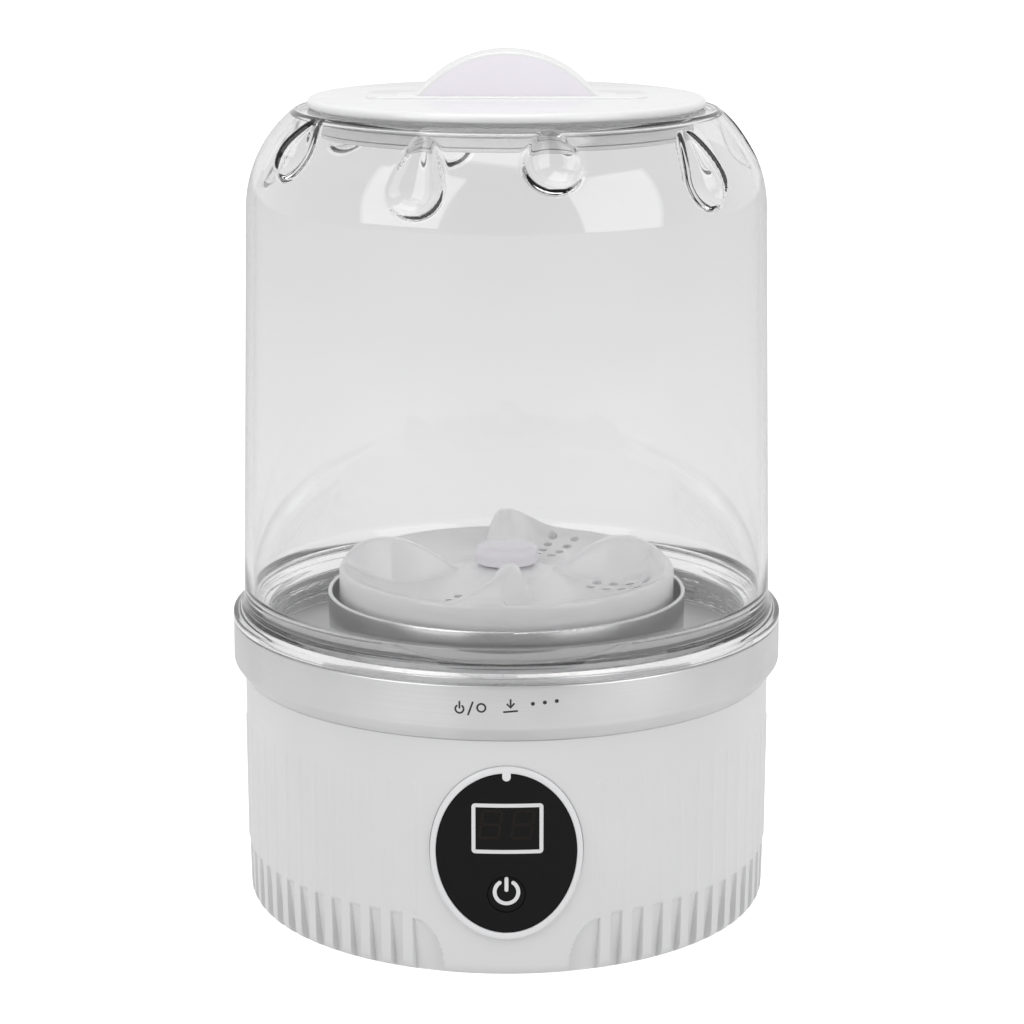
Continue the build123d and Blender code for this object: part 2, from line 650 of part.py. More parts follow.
def lid_cap():
    """The white lid: a rounded disc with its plug below, and a half-moon grip across its top."""
    disc = turned(
        [(0, LID_LOW), (LID_R, LID_LOW), (LID_R, LID_TOP), (0, LID_TOP)],
        [((LID_R, LID_TOP), 1.8), ((LID_R, LID_LOW), 0.6)],
    )
    plug = tube(PLUG_R - 2, PLUG_R, 209.0, LID_LOW) - tube(PLUG_R - 1, PLUG_R + 1, 211.6, 214.0)
    bar = Pos(0, 0, LID_TOP) * Box(74, 22, 2 * (BAR_TOP - LID_TOP))
    bar = fillet(bar.edges().filter_by(Axis.Z), 5) & drum(LID_R - 2, LID_LOW + 1, 240)
    grip = extrude(Plane.XZ * grip_outline(0), amount=GRIP_THICK / 2, both=True)
    inset = extrude(Plane.XZ * grip_outline(1.6), amount=GRIP_THICK / 2 + 1, both=True)
    inset -= block(-40, 40, -GRIP_THICK / 2 + INSET_DEPTH, GRIP_THICK / 2 - INSET_DEPTH, 200, 250)
    return (disc + plug + bar + grip) - inset


def grip_outline(inset):
    """The half-moon side view of the grip, moved in by inset, down to the bar that it stands on."""
    half = GRIP_HALF - inset
    top = GRIP_TOP - inset
    low = BAR_TOP if inset else LID_TOP
    arc = ThreePointArc((half, low), (0, top), (-half, low))
    return make_face(arc + Line((-half, low), (half, low)))


def grip_insets():
    """The two tinted half-moon panels let into the grip's faces."""
    panel = extrude(Plane.XZ * grip_outline(1.65), amount=GRIP_THICK / 2, both=True)
    panel &= block(-40, 40, -40, 40, BAR_TOP + 0.05, 250)
    half = GRIP_THICK / 2
    front = panel & block(-40, 40, -half + 0.15, -half + INSET_DEPTH, 200, 250)
    back = panel & block(-40, 40, half - INSET_DEPTH, half - 0.15, 200, 250)
    return [front, back]


def lid_seal():
    """The soft ring in the plug's groove, just clear of the tub's mouth."""
    return tube(PLUG_R - 0.95, PLUG_R + 0.3, 211.7, 213.9)


# ---------------------------------------------------------------- impeller


def crest_bend(reach):
    """How far a vane's crest lies ahead of its radius, which it meets again at the rim."""
    return min(0.1 * reach, 0.2 * (IMPELLER_R - reach))


def vane():
    """One ridge of the impeller, reaching out along +X, steep on one side and long on the other."""
    sections = []
    for reach, height in VANE_CREST:
        crest = crest_bend(reach)
        ahead = crest + VANE_CREST_HALF
        behind = crest - VANE_CREST_HALF
        rise = height - VANE_FOOT
        points = [(behind - VANE_LONG_RUN * rise, VANE_FOOT), (ahead + VANE_STEEP_RUN * rise, VANE_FOOT)]
        points += [(ahead, height), (behind, height)]
        sections.append(Plane.YZ.offset(reach) * make_face(Polyline(*points, close=True)))
    return loft(sections, ruled=True)


def hole_group():
    """The cutter of one group of drain holes, clockwise of the vane on +X."""
    hole = Cylinder(HOLE_R, 40)
    return [
        Rot(0, 0, angle) * Pos(radius, 0, IMPELLER_TOP) * hole
        for radius in HOLE_RADII
        for angle in HOLE_ANGLES
    ]


def impeller_disc():
    """The white impeller: a dished disc with four vanes, drain holes and a hub on the shaft."""
    rim = IMPELLER_R
    bore = rim - 2.2
    under = [(bore, 89.6), (32, 87.8), (24, 87.8), (HUB_R, 88.6)]
    outline = [(SHAFT_R, 84.0), (HUB_R, 84.0)] + under[::-1]
    outline += [(bore, IMPELLER_LOW), (rim, IMPELLER_LOW), (rim, IMPELLER_TOP)]
    outline += [(rim - 2.0, IMPELLER_TOP - 0.2), (38, 90.6), (31, 89.5), (25, 89.6)]
    outline += [(12, 91.4), (SHAFT_R, 91.4)]
    disc = turned(outline, [((rim, IMPELLER_TOP), 0.7)])
    reach = drum(rim - 0.6, IMPELLER_LOW, GRIP_TOP)
    for angle in VANE_ANGLES:
        disc += Rot(0, 0, angle) * (vane() & reach)
        disc -= [Rot(0, 0, angle) * hole for hole in hole_group()]
    # The underside stays hollow, and the hub is bored for the shaft and the screw.
    disc -= turned([(HUB_R, 80), (bore, 80)] + under)
    return disc - drum(SHAFT_R + 0.02, 80, SHAFT_TOP + 0.1) - drum(5.0, 91.4, 99)


def impeller_cap():
    """The round cap that hides the impeller's screw."""
    ring = turned(
        [(0, 93.6), (CAP_R, 93.6), (CAP_R, CAP_TOP), (0, CAP_TOP)],
        [((CAP_R, CAP_TOP), 2.4), ((CAP_R, 93.6), 0.6)],
    )
    stem = tube(3.4, 4.9, 91.9, 93.6)
    return ring + stem - drum(3.4, 90, 94.6)


def impeller_screw():
    """The screw that holds the impeller down on its shaft."""
    head = drum(2.9, SHAFT_TOP + 1.5, SHAFT_TOP + 3.4) - Pos(0, 0, SHAFT_TOP + 3.4) * Box(3.6, 0.7, 1.4)
    return head + drum(1.15, SHAFT_TOP - 6, SHAFT_TOP + 1.5)


PARTS = [
    base_shell, bottom_cover, rubber_feet, cover_screws, tray_screws, trim_ring, drum_tray,
    impeller_shroud, shaft_seal, upper_bush, gearbox_case, gearbox_cover, gearbox_screws, output_bush,
    gear_pin, motor_screws, motor_can, motor_end_cap, motor_terminals, motor_bearings, motor_magnets,
    rotor_shaft, rotor_core, commutator, motor_pinion, idler_gear, output_gear, output_shaft,
    panel_bezel, panel_lens, power_button, control_pcb, display_module, tact_switch, main_chip,
    power_inlet, inlet_board, tub, tub_seal, lid_cap, grip_insets, lid_seal,
    impeller_disc, impeller_cap, impeller_screw,
]  # fmt: skip

os.makedirs("parts", exist_ok=True)
for make in PARTS:
    made = make()
    if isinstance(made, list):
        made = Compound(children=[solid for shape in made for solid in shape.solids()])
    export_step(made, f"parts/{make.__name__}.step")
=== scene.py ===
"""The looks of the portable mini washer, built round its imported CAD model."""

import math

import bmesh
import bpy
import numpy as np
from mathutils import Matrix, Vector


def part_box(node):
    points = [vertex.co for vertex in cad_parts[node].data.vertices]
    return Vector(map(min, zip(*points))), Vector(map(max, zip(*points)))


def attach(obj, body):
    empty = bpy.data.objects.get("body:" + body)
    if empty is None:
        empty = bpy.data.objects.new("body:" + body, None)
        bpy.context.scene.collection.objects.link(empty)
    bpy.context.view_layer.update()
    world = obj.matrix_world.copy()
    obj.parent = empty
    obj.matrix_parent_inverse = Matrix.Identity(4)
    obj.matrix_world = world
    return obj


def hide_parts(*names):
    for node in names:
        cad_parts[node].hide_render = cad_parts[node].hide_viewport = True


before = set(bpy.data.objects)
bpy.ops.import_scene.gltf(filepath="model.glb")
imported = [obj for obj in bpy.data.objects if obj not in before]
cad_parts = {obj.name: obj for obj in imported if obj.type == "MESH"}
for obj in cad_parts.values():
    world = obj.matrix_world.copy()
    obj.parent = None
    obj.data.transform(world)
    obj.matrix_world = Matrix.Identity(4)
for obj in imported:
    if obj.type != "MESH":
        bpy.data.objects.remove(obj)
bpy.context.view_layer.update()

MM = 0.001

# ---------------------------- sizes, in millimetres


def node_size(node):
    """(radius, lowest, highest) of a round node, in millimetres."""
    low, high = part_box(node)
    return high.x / MM, low.z / MM, high.z / MM


SHELL_R, _, SHELL_TOP = node_size("base_shell")
RING_R, RING_LOW, RING_TOP = node_size("trim_ring")
_, TUB_LOW, TUB_TOP = node_size("tub")
IMPELLER_R, IMPELLER_LOW, _ = node_size("impeller_disc")
CAP_R, _, CAP_TOP = node_size("impeller_cap")
LID_R, LID_PLUG_LOW, LID_TOP = node_size("lid_cap")
FLANGE_LOW = RING_TOP + 0.3  # the tub's flange rests on its seal
FLANGE_TOP = FLANGE_LOW + 1.8
NECK_R = 68.2  # the tub's threaded neck
WALL = 2.2
FOOT_R = 71.9  # the tub's wall at its foot, where the flare ends
FLARE_TOP = 88.6
SHOULDER_R = 69.5  # the wall where the shoulder starts
SHOULDER_Z = 191.0
ARC_R = 33.5  # the shoulder's rounding
SEAT_R = 56.2  # the flat round the mouth that the lid sits on
SEAT_Z = TUB_TOP - 0.15
MOUTH_R = 49.9
LEAD = 13.6  # the thread's rise in one turn
STARTS = 4

# ---------------------------- mesh tools


def mesh_object(name, points, faces, smooth_angle=35.0):
    """A mesh object from points in millimetres, shaded smooth up to an angle between faces."""
    mesh = bpy.data.meshes.new(name)
    mesh.from_pydata([tuple(p) for p in np.asarray(points) * MM], [], faces)
    bm = bmesh.new()
    bm.from_mesh(mesh)
    bmesh.ops.recalc_face_normals(bm, faces=bm.faces)
    bm.to_mesh(mesh)
    bm.free()
    mesh.shade_smooth()
    mesh.set_sharp_from_angle(angle=math.radians(smooth_angle))
    piece = bpy.data.objects.new(name, mesh)
    bpy.context.scene.collection.objects.link(piece)
    return piece


def rounded(corners, steps=5):
    """A closed (radius, height) outline from (radius, height, rounding) corners."""
    outline = []
    count = len(corners)
    for i, (r, z, rounding) in enumerate(corners):
        here = np.array([r, z])
        if rounding == 0:
            outline.append(here)
            continue
        before = np.array(corners[i - 1][:2]) - here
        after = np.array(corners[(i + 1) % count][:2]) - here
        a = before / np.linalg.norm(before)
        b = after / np.linalg.norm(after)
        half = math.acos(np.clip(a @ b, -1, 1)) / 2
        reach = rounding / math.tan(half)
        centre = here + (a + b) / np.linalg.norm(a + b) * rounding / math.sin(half)
        start, end = here + a * reach - centre, here + b * reach - centre
        sweep = math.atan2(start[0] * end[1] - start[1] * end[0], start @ end)
        for k in range(steps + 1):
            turn = sweep * k / steps
            c, s = math.cos(turn), math.sin(turn)
            outline.append(centre + [c * start[0] - s * start[1], s * start[0] + c * start[1]])
    return outline


def even(start, end, step):
    """Points along a straight stretch, without its end."""
    start, end = np.array(start, float), np.array(end, float)
    count = max(1, round(np.linalg.norm(end - start) / step))
    return [start + (end - start) * k / count for k in range(count)]


def whole_turn(count):
    """Evenly spaced angles round a whole turn."""
    return np.linspace(0, 2 * np.pi, count, endpoint=False)


def lathe(name, outline, angles=None, shape=None, smooth_angle=35.0):
    """Turns a closed (radius, height) outline about Z. shape(r, z, angle, row) may move the points."""
    angles = whole_turn(256) if angles is None else angles
    outline = np.array(outline, float)
    r = np.repeat(outline[:, :1], len(angles), axis=1)
    z = np.repeat(outline[:, 1:], len(angles), axis=1)
    turn = np.repeat(angles[None, :], len(outline), axis=0)
    if shape is not None:
        row = np.repeat(np.arange(len(outline))[:, None], len(angles), axis=1)
        r, z = shape(r, z, turn, row)
    points = np.stack([r * np.sin(turn), -r * np.cos(turn), z], axis=-1).reshape(-1, 3)
    rows, columns = len(outline), len(angles)
    faces = []
    for i in range(rows):
        j = (i + 1) % rows
        if outline[i][0] < 1e-6 and outline[j][0] < 1e-6:
            continue
        for k in range(columns):
            m = (k + 1) % columns
            corners = [i * columns + k, i * columns + m, j * columns + m, j * columns + k]
            if outline[i][0] < 1e-6:
                corners = [i * columns, corners[2], corners[3]]
            elif outline[j][0] < 1e-6:
                corners = [corners[0], corners[1], j * columns]
            faces.append(corners)
    return tidy(mesh_object(name, points, faces, smooth_angle), smooth_angle)


def tidy(piece, smooth_angle=35.0):
    """Joins points in the same place, removes those without a face and turns the faces outwards."""
    bm = bmesh.new()
    bm.from_mesh(piece.data)
    bmesh.ops.remove_doubles(bm, verts=bm.verts, dist=1e-7)
    loose = [v for v in bm.verts if not v.link_faces]
    bmesh.ops.delete(bm, geom=loose, context="VERTS")
    bmesh.ops.recalc_face_normals(bm, faces=bm.faces)
    bm.to_mesh(piece.data)
    bm.free()
    piece.data.shade_smooth()
    piece.data.set_sharp_from_angle(angle=math.radians(smooth_angle))
    return piece


def join(name, pieces):
    """One object made of several."""
    bpy.ops.object.select_all(action="DESELECT")
    for piece in pieces:
        piece.select_set(True)
    bpy.context.view_layer.objects.active = pieces[0]
    bpy.ops.object.join()
    pieces[0].name = name
    pieces[0].data.name = name
    return pieces[0]


def cut(piece, cutter, smooth_angle=35.0):
    """Cuts one closed object out of another."""
    modifier = piece.modifiers.new("cut", "BOOLEAN")
    modifier.object = cutter
    modifier.solver = "EXACT"
    with bpy.context.temp_override(object=piece, active_object=piece):
        bpy.ops.object.modifier_apply(modifier="cut")
    bpy.data.objects.remove(cutter)
    return tidy(piece, smooth_angle)


def grown(outline, distance):
    """A closed (x, y) outline moved outwards by a distance, or inwards by a negative one."""
    outline = np.asarray(outline, float)
    before, after = np.roll(outline, 1, axis=0), np.roll(outline, -1, axis=0)
    a = (outline - before) / np.linalg.norm(outline - before, axis=1)[:, None]
    b = (after - outline) / np.linalg.norm(after - outline, axis=1)[:, None]
    normal = a + b
    normal = np.stack([normal[:, 1], -normal[:, 0]], axis=1)
    normal /= np.linalg.norm(normal, axis=1)[:, None]
    area = np.sum(outline[:, 0] * after[:, 1] - outline[:, 1] * after[:, 0])
    lean = np.clip(np.abs(np.sum(normal * np.stack([a[:, 1], -a[:, 0]], axis=1), axis=1)), 0.5, 1)
    return outline + normal * (distance * math.copysign(1, area) / lean)[:, None]


def slab(name, outline, low, high, rounding=0.0, place=None, steps=3, smooth_angle=35.0):
    """A closed outline in two axes, thick from low to high along the third, with rounded edges.

    place(u, v, w) gives the (x, y, z) of a point; without it the slab lies flat.
    """
    place = place or (lambda u, v, w: (u, v, w))
    levels = [(low, 0.0), (high, 0.0)]
    if rounding:
        arc = [math.pi / 2 * k / steps for k in range(steps + 1)]
        edge = [(rounding * (1 - math.sin(a)), -rounding * (1 - math.cos(a))) for a in arc]
        levels = [(low + rise, inset) for rise, inset in reversed(edge)]
        levels += [(high - rise, inset) for rise, inset in edge]
    points, faces = [], []
    for w, distance in levels:
        points += [place(u, v, w) for u, v in (grown(outline, distance) if distance else outline)]
    count = len(outline)
    for level in range(len(levels) - 1):
        for k in range(count):
            m = (k + 1) % count
            above = (level + 1) * count
            faces.append([level * count + k, level * count + m, above + m, above + k])
    faces.append(list(range(count))[::-1])
    faces.append([(len(levels) - 1) * count + k for k in range(count)])
    return mesh_object(name, points, faces, smooth_angle)


def on_front(u, v, w):
    """A place for slab: x, height, and the distance from the axis, bent round the front."""
    return u, -math.sqrt(max(w * w - u * u, 0.0)), v


def upright(u, v, w):
    """A place for slab: x, height, and the distance back along Y."""
    return u, w, v


def stroke(name, path, width, low_r, high_r, closed=False, height=0.0):
    """A painted line with round ends, following (x, z) points on an upright cylinder's front."""
    path = np.asarray(path, float)
    half = np.full(len(path), width / 2)
    if not closed:
        quarter = np.linspace(0, math.pi / 2, 5)[1:]
        start, end = path[0] - path[1], path[-1] - path[-2]
        start, end = start / np.linalg.norm(start), end / np.linalg.norm(end)
        head = [path[0] + start * width / 2 * math.sin(a) for a in quarter]
        tail = [path[-1] + end * width / 2 * math.sin(a) for a in quarter]
        thin = [max(math.cos(a), 0.05) * width / 2 for a in quarter]
        path = np.vstack([head[::-1], path, tail])
        half = np.concatenate([thin[::-1], half, thin])
    if closed:
        way = np.roll(path, -1, axis=0) - np.roll(path, 1, axis=0)
    else:
        way = np.gradient(path, axis=0)
    way /= np.linalg.norm(way, axis=1)[:, None]
    side = np.stack([-way[:, 1], way[:, 0]], axis=1) * half[:, None]
    points, faces = [], []
    for here, out in zip(path, side):
        for sign, r in ((1, low_r), (1, high_r), (-1, high_r), (-1, low_r)):
            u, v = here + sign * out
            points.append(on_front(u, v + height, r))
    count = len(path)
    for i in range(count if closed else count - 1):
        j = (i + 1) % count
        for k in range(4):
            m = (k + 1) % 4
            faces.append([i * 4 + k, i * 4 + m, j * 4 + m, j * 4 + k])
    if not closed:
        faces += [[0, 1, 2, 3], [(count - 1) * 4 + k for k in (3, 2, 1, 0)]]
    return mesh_object(name, points, faces, 50.0)


def arc_path(x, z, radius, start, end, steps=28):
    """Points on a circle, from start to end in degrees, counted from the top to the right."""
    turns = [math.radians(start + (end - start) * k / steps) for k in range(steps + 1)]
    return [(x + radius * math.sin(a), z + radius * math.cos(a)) for a in turns]


def line_path(start, end, steps=2):
    """Evenly spaced points from start to end."""
    start, end = np.array(start, float), np.array(end, float)
    return [start + (end - start) * k / steps for k in range(steps + 1)]


def oval(half_width, half_height, z=0.0, count=160):
    """An oval outline about (0, z)."""
    turns = whole_turn(count)
    return np.stack([half_width * np.cos(turns), z + half_height * np.sin(turns)], axis=1)


def finish_piece(piece, material, slot, body, *nodes):
    """Gives a new piece its material, its body and the CAD nodes that it stands for; the slot is not used."""
    piece.data.materials.clear()
    piece.data.materials.append(material)
    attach(piece, body)
    if nodes:
        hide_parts(*nodes)


def smoothstep(x, low, high):
    """0 below low, 1 above high, and a smooth rise between them."""
    t = np.clip((x - low) / (high - low), 0, 1)
    return t * t * (3 - 2 * t)


# ---------------------------- material tools


class Nodes:
    """A material's node tree, with short ways to add the nodes that the finishes share."""

    def __init__(self, name):
        self.material = bpy.data.materials.new(name)
        self.material.use_nodes = True
        self.tree = self.material.node_tree
        self.shader = self.tree.nodes["Principled BSDF"]
        self.place = self.add("ShaderNodeTexCoord").outputs["Object"]

    def add(self, kind, **settings):
        """A new node with its properties and its inputs' values set."""
        node = self.tree.nodes.new(kind)
        for key, value in settings.items():
            if key in node.inputs:
                node.inputs[key].default_value = value
            else:
                setattr(node, key, value)
        return node

    def link(self, source, target):
        self.tree.links.new(source, target)

    def stretched(self, scale):
        """The object's coordinates, scaled by (x, y, z)."""
        mapping = self.add("ShaderNodeMapping", Scale=scale)
        self.link(self.place, mapping.inputs["Vector"])
        return mapping.outputs["Vector"]

    def noise(self, scale, detail=3.0, where=None):
        node = self.add("ShaderNodeTexNoise", Scale=scale, Detail=detail)
        self.link(where or self.place, node.inputs["Vector"])
        return node.outputs["Fac"]

    def spread(self, source, low, high, at=(0.3, 0.7)):
        """A value remapped from the at range to low..high."""
        node = self.add("ShaderNodeMapRange")
        self.link(source, node.inputs["Value"])
        node.inputs["From Min"].default_value, node.inputs["From Max"].default_value = at
        node.inputs["To Min"].default_value = low
        node.inputs["To Max"].default_value = high
        return node.outputs["Result"]

    def blend(self, factor, first, second):
        """A mix of two colours, or of a colour and another node's colour."""
        node = self.add("ShaderNodeMix", data_type="RGBA")
        self.link(factor, node.inputs["Factor"])
        for socket, value in ((node.inputs["A"], first), (node.inputs["B"], second)):
            target = next(s for s in node.inputs if s.name == socket.name and s.type == "RGBA")
            if isinstance(value, tuple):
                target.default_value = (*value, 1.0)
            else:
                self.link(value, target)
        return next(s for s in node.outputs if s.type == "RGBA")

    def bump(self, height, strength, distance):
        node = self.add("ShaderNodeBump", Strength=strength, Distance=distance)
        self.link(height, node.inputs["Height"])
        self.link(node.outputs["Normal"], self.shader.inputs["Normal"])

    def specks(self, share, size):
        """1 on a few tiny specks of random size, and 0 elsewhere. share is how many cells have one."""
        cells = self.add("ShaderNodeTexVoronoi", Scale=85.0)
        self.link(self.place, cells.inputs["Vector"])
        near = self.spread(cells.outputs["Distance"], 1.0, 0.0, (size * 0.5, size))
        pick = self.spread(cells.outputs["Color"], 0.0, 1.0, (1 - share, 1 - share + 0.01))
        both = self.add("ShaderNodeMath", operation="MULTIPLY")
        self.link(near, both.inputs[0])
        self.link(pick, both.inputs[1])
        return both.outputs["Value"]


def moulded(name, colour, dark, roughness=0.3, speck=0.0, grain=900.0, coat=0.0):
    """Moulded plastic: a fine skin grain, faint cloudiness, and a few specks of dirt in the resin."""
    nodes = Nodes(name)
    shade = nodes.blend(nodes.spread(nodes.noise(35.0), 0.0, 1.0), colour, dark)
    if speck:
        shade = nodes.blend(nodes.specks(speck, 0.05), shade, (0.25, 0.24, 0.22))
    nodes.link(shade, nodes.shader.inputs["Base Color"])
    gloss = nodes.spread(nodes.noise(70.0), roughness * 0.85, roughness * 1.2)
    nodes.link(gloss, nodes.shader.inputs["Roughness"])
    nodes.bump(nodes.noise(grain, 2.0), 0.12, 0.00005)
    nodes.shader.inputs["IOR"].default_value = 1.5
    nodes.shader.inputs["Coat Weight"].default_value = coat
    nodes.shader.inputs["Coat Roughness"].default_value = 0.08
    return nodes.material


def brushed(name, colour, dark, roughness=0.3, metallic=1.0, lines=(15.0, 15.0, 2600.0), depth=0.25):
    """Metal with fine lines round its axis and a cloudy tarnish."""
    nodes = Nodes(name)
    streak = nodes.noise(1.0, 4.0, nodes.stretched(lines))
    cloud = nodes.noise(28.0, 3.0)
    tint = nodes.blend(nodes.spread(cloud, 0.0, 1.0), colour, dark)
    tint = nodes.blend(nodes.spread(streak, 0.0, 0.35), tint, dark)
    nodes.link(tint, nodes.shader.inputs["Base Color"])
    gloss = nodes.spread(streak, roughness * 0.9, roughness * 1.12)
    nodes.link(gloss, nodes.shader.inputs["Roughness"])
    nodes.bump(streak, depth, 0.00004)
    nodes.shader.inputs["Metallic"].default_value = metallic
    return nodes.material


def clear_plastic(name, tint, shade, roughness=0.02):
    """Clear moulded plastic, with faint flow marks and a slight tint."""
    nodes = Nodes(name)
    flow = nodes.noise(1.0, 3.0, nodes.stretched((22.0, 22.0, 6.0)))
    colour = nodes.blend(nodes.spread(flow, 0.0, 1.0), tint, shade)
    nodes.link(colour, nodes.shader.inputs["Base Color"])
    haze = nodes.spread(nodes.noise(160.0), roughness * 0.5, roughness * 1.8)
    nodes.link(haze, nodes.shader.inputs["Roughness"])
    nodes.bump(flow, 0.05, 0.0004)
    nodes.shader.inputs["Transmission Weight"].default_value = 1.0
    nodes.shader.inputs["IOR"].default_value = 1.49
    return nodes.material


# ---------------------------- camera, light and floor

FLOOR_SIZE = 12.0  # metres
FLOOR_GLOW = 0.40  # how bright the paper is to the washer; to the camera it is 1
STUDIO_GLOW = (0.28, 0.87)  # how bright the studio is behind the camera, and beyond the washer


def make_camera():
    """The photograph's view: a long lens a little above the lid, looking down at 13 degrees."""
    data = bpy.data.cameras.new("camera")
    data.lens = 102.9
    data.sensor_width = 36.0
    data.shift_x = 0.0054
    data.clip_start = 0.05
    data.clip_end = 50.0
    camera = bpy.data.objects.new("camera", data)
    camera.location = (0.0, -0.7814, 0.2888)
    camera.rotation_euler = (math.radians(90.0 - 13.08), 0.0, 0.0)
    bpy.context.scene.collection.objects.link(camera)
    bpy.context.scene.camera = camera


def softbox(name, direction, distance, width, height, power):
    """A large soft light that faces the middle of the tub."""
    data = bpy.data.lights.new(name, "AREA")
    data.shape = "RECTANGLE"
    data.size = width
    data.size_y = height
    data.energy = power
    light = bpy.data.objects.new(name, data)
    target = Vector((0.0, 0.0, 0.12))
    way = Vector(direction).normalized()
    light.location = target + way * distance
    light.rotation_euler = way.to_track_quat("Z", "Y").to_euler()
    bpy.context.scene.collection.objects.link(light)


def make_stage():
    """The floor, the studio's even light and its softboxes."""
    bpy.context.scene.view_settings.view_transform = "Standard"
    bpy.ops.mesh.primitive_plane_add(size=FLOOR_SIZE, location=(0, 0, 0))
    floor = bpy.context.object
    floor.name = "floor"
    nodes = Nodes("studio_floor")
    paper = nodes.blend(nodes.noise(3.0), (0.44, 0.44, 0.44), (0.46, 0.46, 0.46))
    nodes.link(paper, nodes.shader.inputs["Base Color"])
    nodes.shader.inputs["Roughness"].default_value = 0.9
    nodes.shader.inputs["Specular IOR Level"].default_value = 0.1
    nodes.shader.inputs["Emission Color"].default_value = (1.0, 1.0, 1.0, 1.0)
    # The photograph's paper is blown out to pure white, but the washer is lit by a soft grey.
    seen = nodes.add("ShaderNodeLightPath").outputs["Is Camera Ray"]
    glow = nodes.spread(seen, FLOOR_GLOW, 1.0, (0.0, 1.0))
    nodes.link(glow, nodes.shader.inputs["Emission Strength"])
    floor.data.materials.append(nodes.material)

    world = bpy.data.worlds.new("studio")
    bpy.context.scene.world = world
    world.use_nodes = True
    tree = world.node_tree
    background = tree.nodes["Background"]
    place = tree.nodes.new("ShaderNodeTexCoord")
    split = tree.nodes.new("ShaderNodeSeparateXYZ")
    ramp = tree.nodes.new("ShaderNodeMapRange")
    tree.links.new(place.outputs["Generated"], split.inputs["Vector"])
    tree.links.new(split.outputs["Y"], ramp.inputs["Value"])
    ramp.inputs["From Min"].default_value = -1.0
    ramp.inputs["From Max"].default_value = 0.6
    ramp.inputs["To Min"].default_value, ramp.inputs["To Max"].default_value = STUDIO_GLOW
    # As with the paper, the backdrop itself is pure white, and the washer is lit by a soft grey.
    seen = tree.nodes.new("ShaderNodeLightPath")
    strength = tree.nodes.new("ShaderNodeMix")
    tree.links.new(seen.outputs["Is Camera Ray"], strength.inputs["Factor"])
    tree.links.new(ramp.outputs["Result"], strength.inputs["A"])
    strength.inputs["B"].default_value = 1.0
    tree.links.new(strength.outputs["Result"], background.inputs["Strength"])
    background.inputs["Color"].default_value = (1.0, 1.0, 1.0, 1.0)

    softbox("left_softbox", (-0.64, -0.61, 0.47), 1.1, 0.74, 0.88, 4.0)
    softbox("right_softbox", (0.74, -0.60, 0.42), 1.1, 0.76, 0.86, 3.9)
    softbox("top_softbox", (-0.06, -0.14, 1.0), 1.0, 0.8, 0.7, 3.4)


# ---------------------------- tub

# A dent is a large and a small ball joined by a cone, pressed in at two places that are degrees
# up the shoulder's arc.
DENT_FOOT = 21.5
DENT_TIP = 42.0
DENT_FOOT_R = 8.2
DENT_TIP_R = 2.7
DENT_FOOT_DEPTH = 4.0
DENT_TIP_DEPTH = 1.3
DENT_BALLS = [(DENT_FOOT, DENT_FOOT_DEPTH, DENT_FOOT_R), (DENT_TIP, DENT_TIP_DEPTH, DENT_TIP_R)]
LOW_DENTS = [-20, 50, 124, -165, -100]  # degrees round from the front, to the right
HIGH_DENTS = [-59, 10.6, 87, 160, -134]
HIGH_LIFT = 12.0  # how far up the arc a high dent's foot is, past a low one's
TIP_LIFT = 0.4 * HIGH_LIFT
SEAT_ANGLE = math.acos((SEAT_R - (SHOULDER_R - ARC_R)) / ARC_R)
DENT_FADE = SEAT_ANGLE - math.radians(6.0)
INNER_DENT = 0.9  # a dent's depth inside the wall, as a share of its depth outside
THREAD_LOW, THREAD_HIGH = 71.4, 78.2
THREAD_DEPTH = 1.1


def shoulder_point(angle, inset=0.0):
    """A point of the shoulder's arc, from 0 degrees at the wall to 90 at the top."""
    reach = ARC_R - inset
    turn = math.radians(angle)
    return np.array([SHOULDER_R - ARC_R + reach * math.cos(turn), SHOULDER_Z + reach * math.sin(turn)])


def round_cone(points, foot, tip, foot_r, tip_r):
    """The distance of points to a round cone: a large ball and a small ball joined by a cone."""
    axis = tip - foot
    length = np.linalg.norm(axis)
    axis = axis / length
    offset = points - foot
    along = offset @ axis
    across = np.linalg.norm(offset - along[..., None] * axis, axis=-1)
    slope = (foot_r - tip_r) / length
    level = np.sqrt(1 - slope * slope)
    side = across * level + along * slope - foot_r
    low = np.linalg.norm(offset, axis=-1) - foot_r
    high = np.linalg.norm(points - tip, axis=-1) - tip_r
    turn = along * level - across * slope
    return np.where(turn < 0, low, np.where(turn > length * level, high, side))


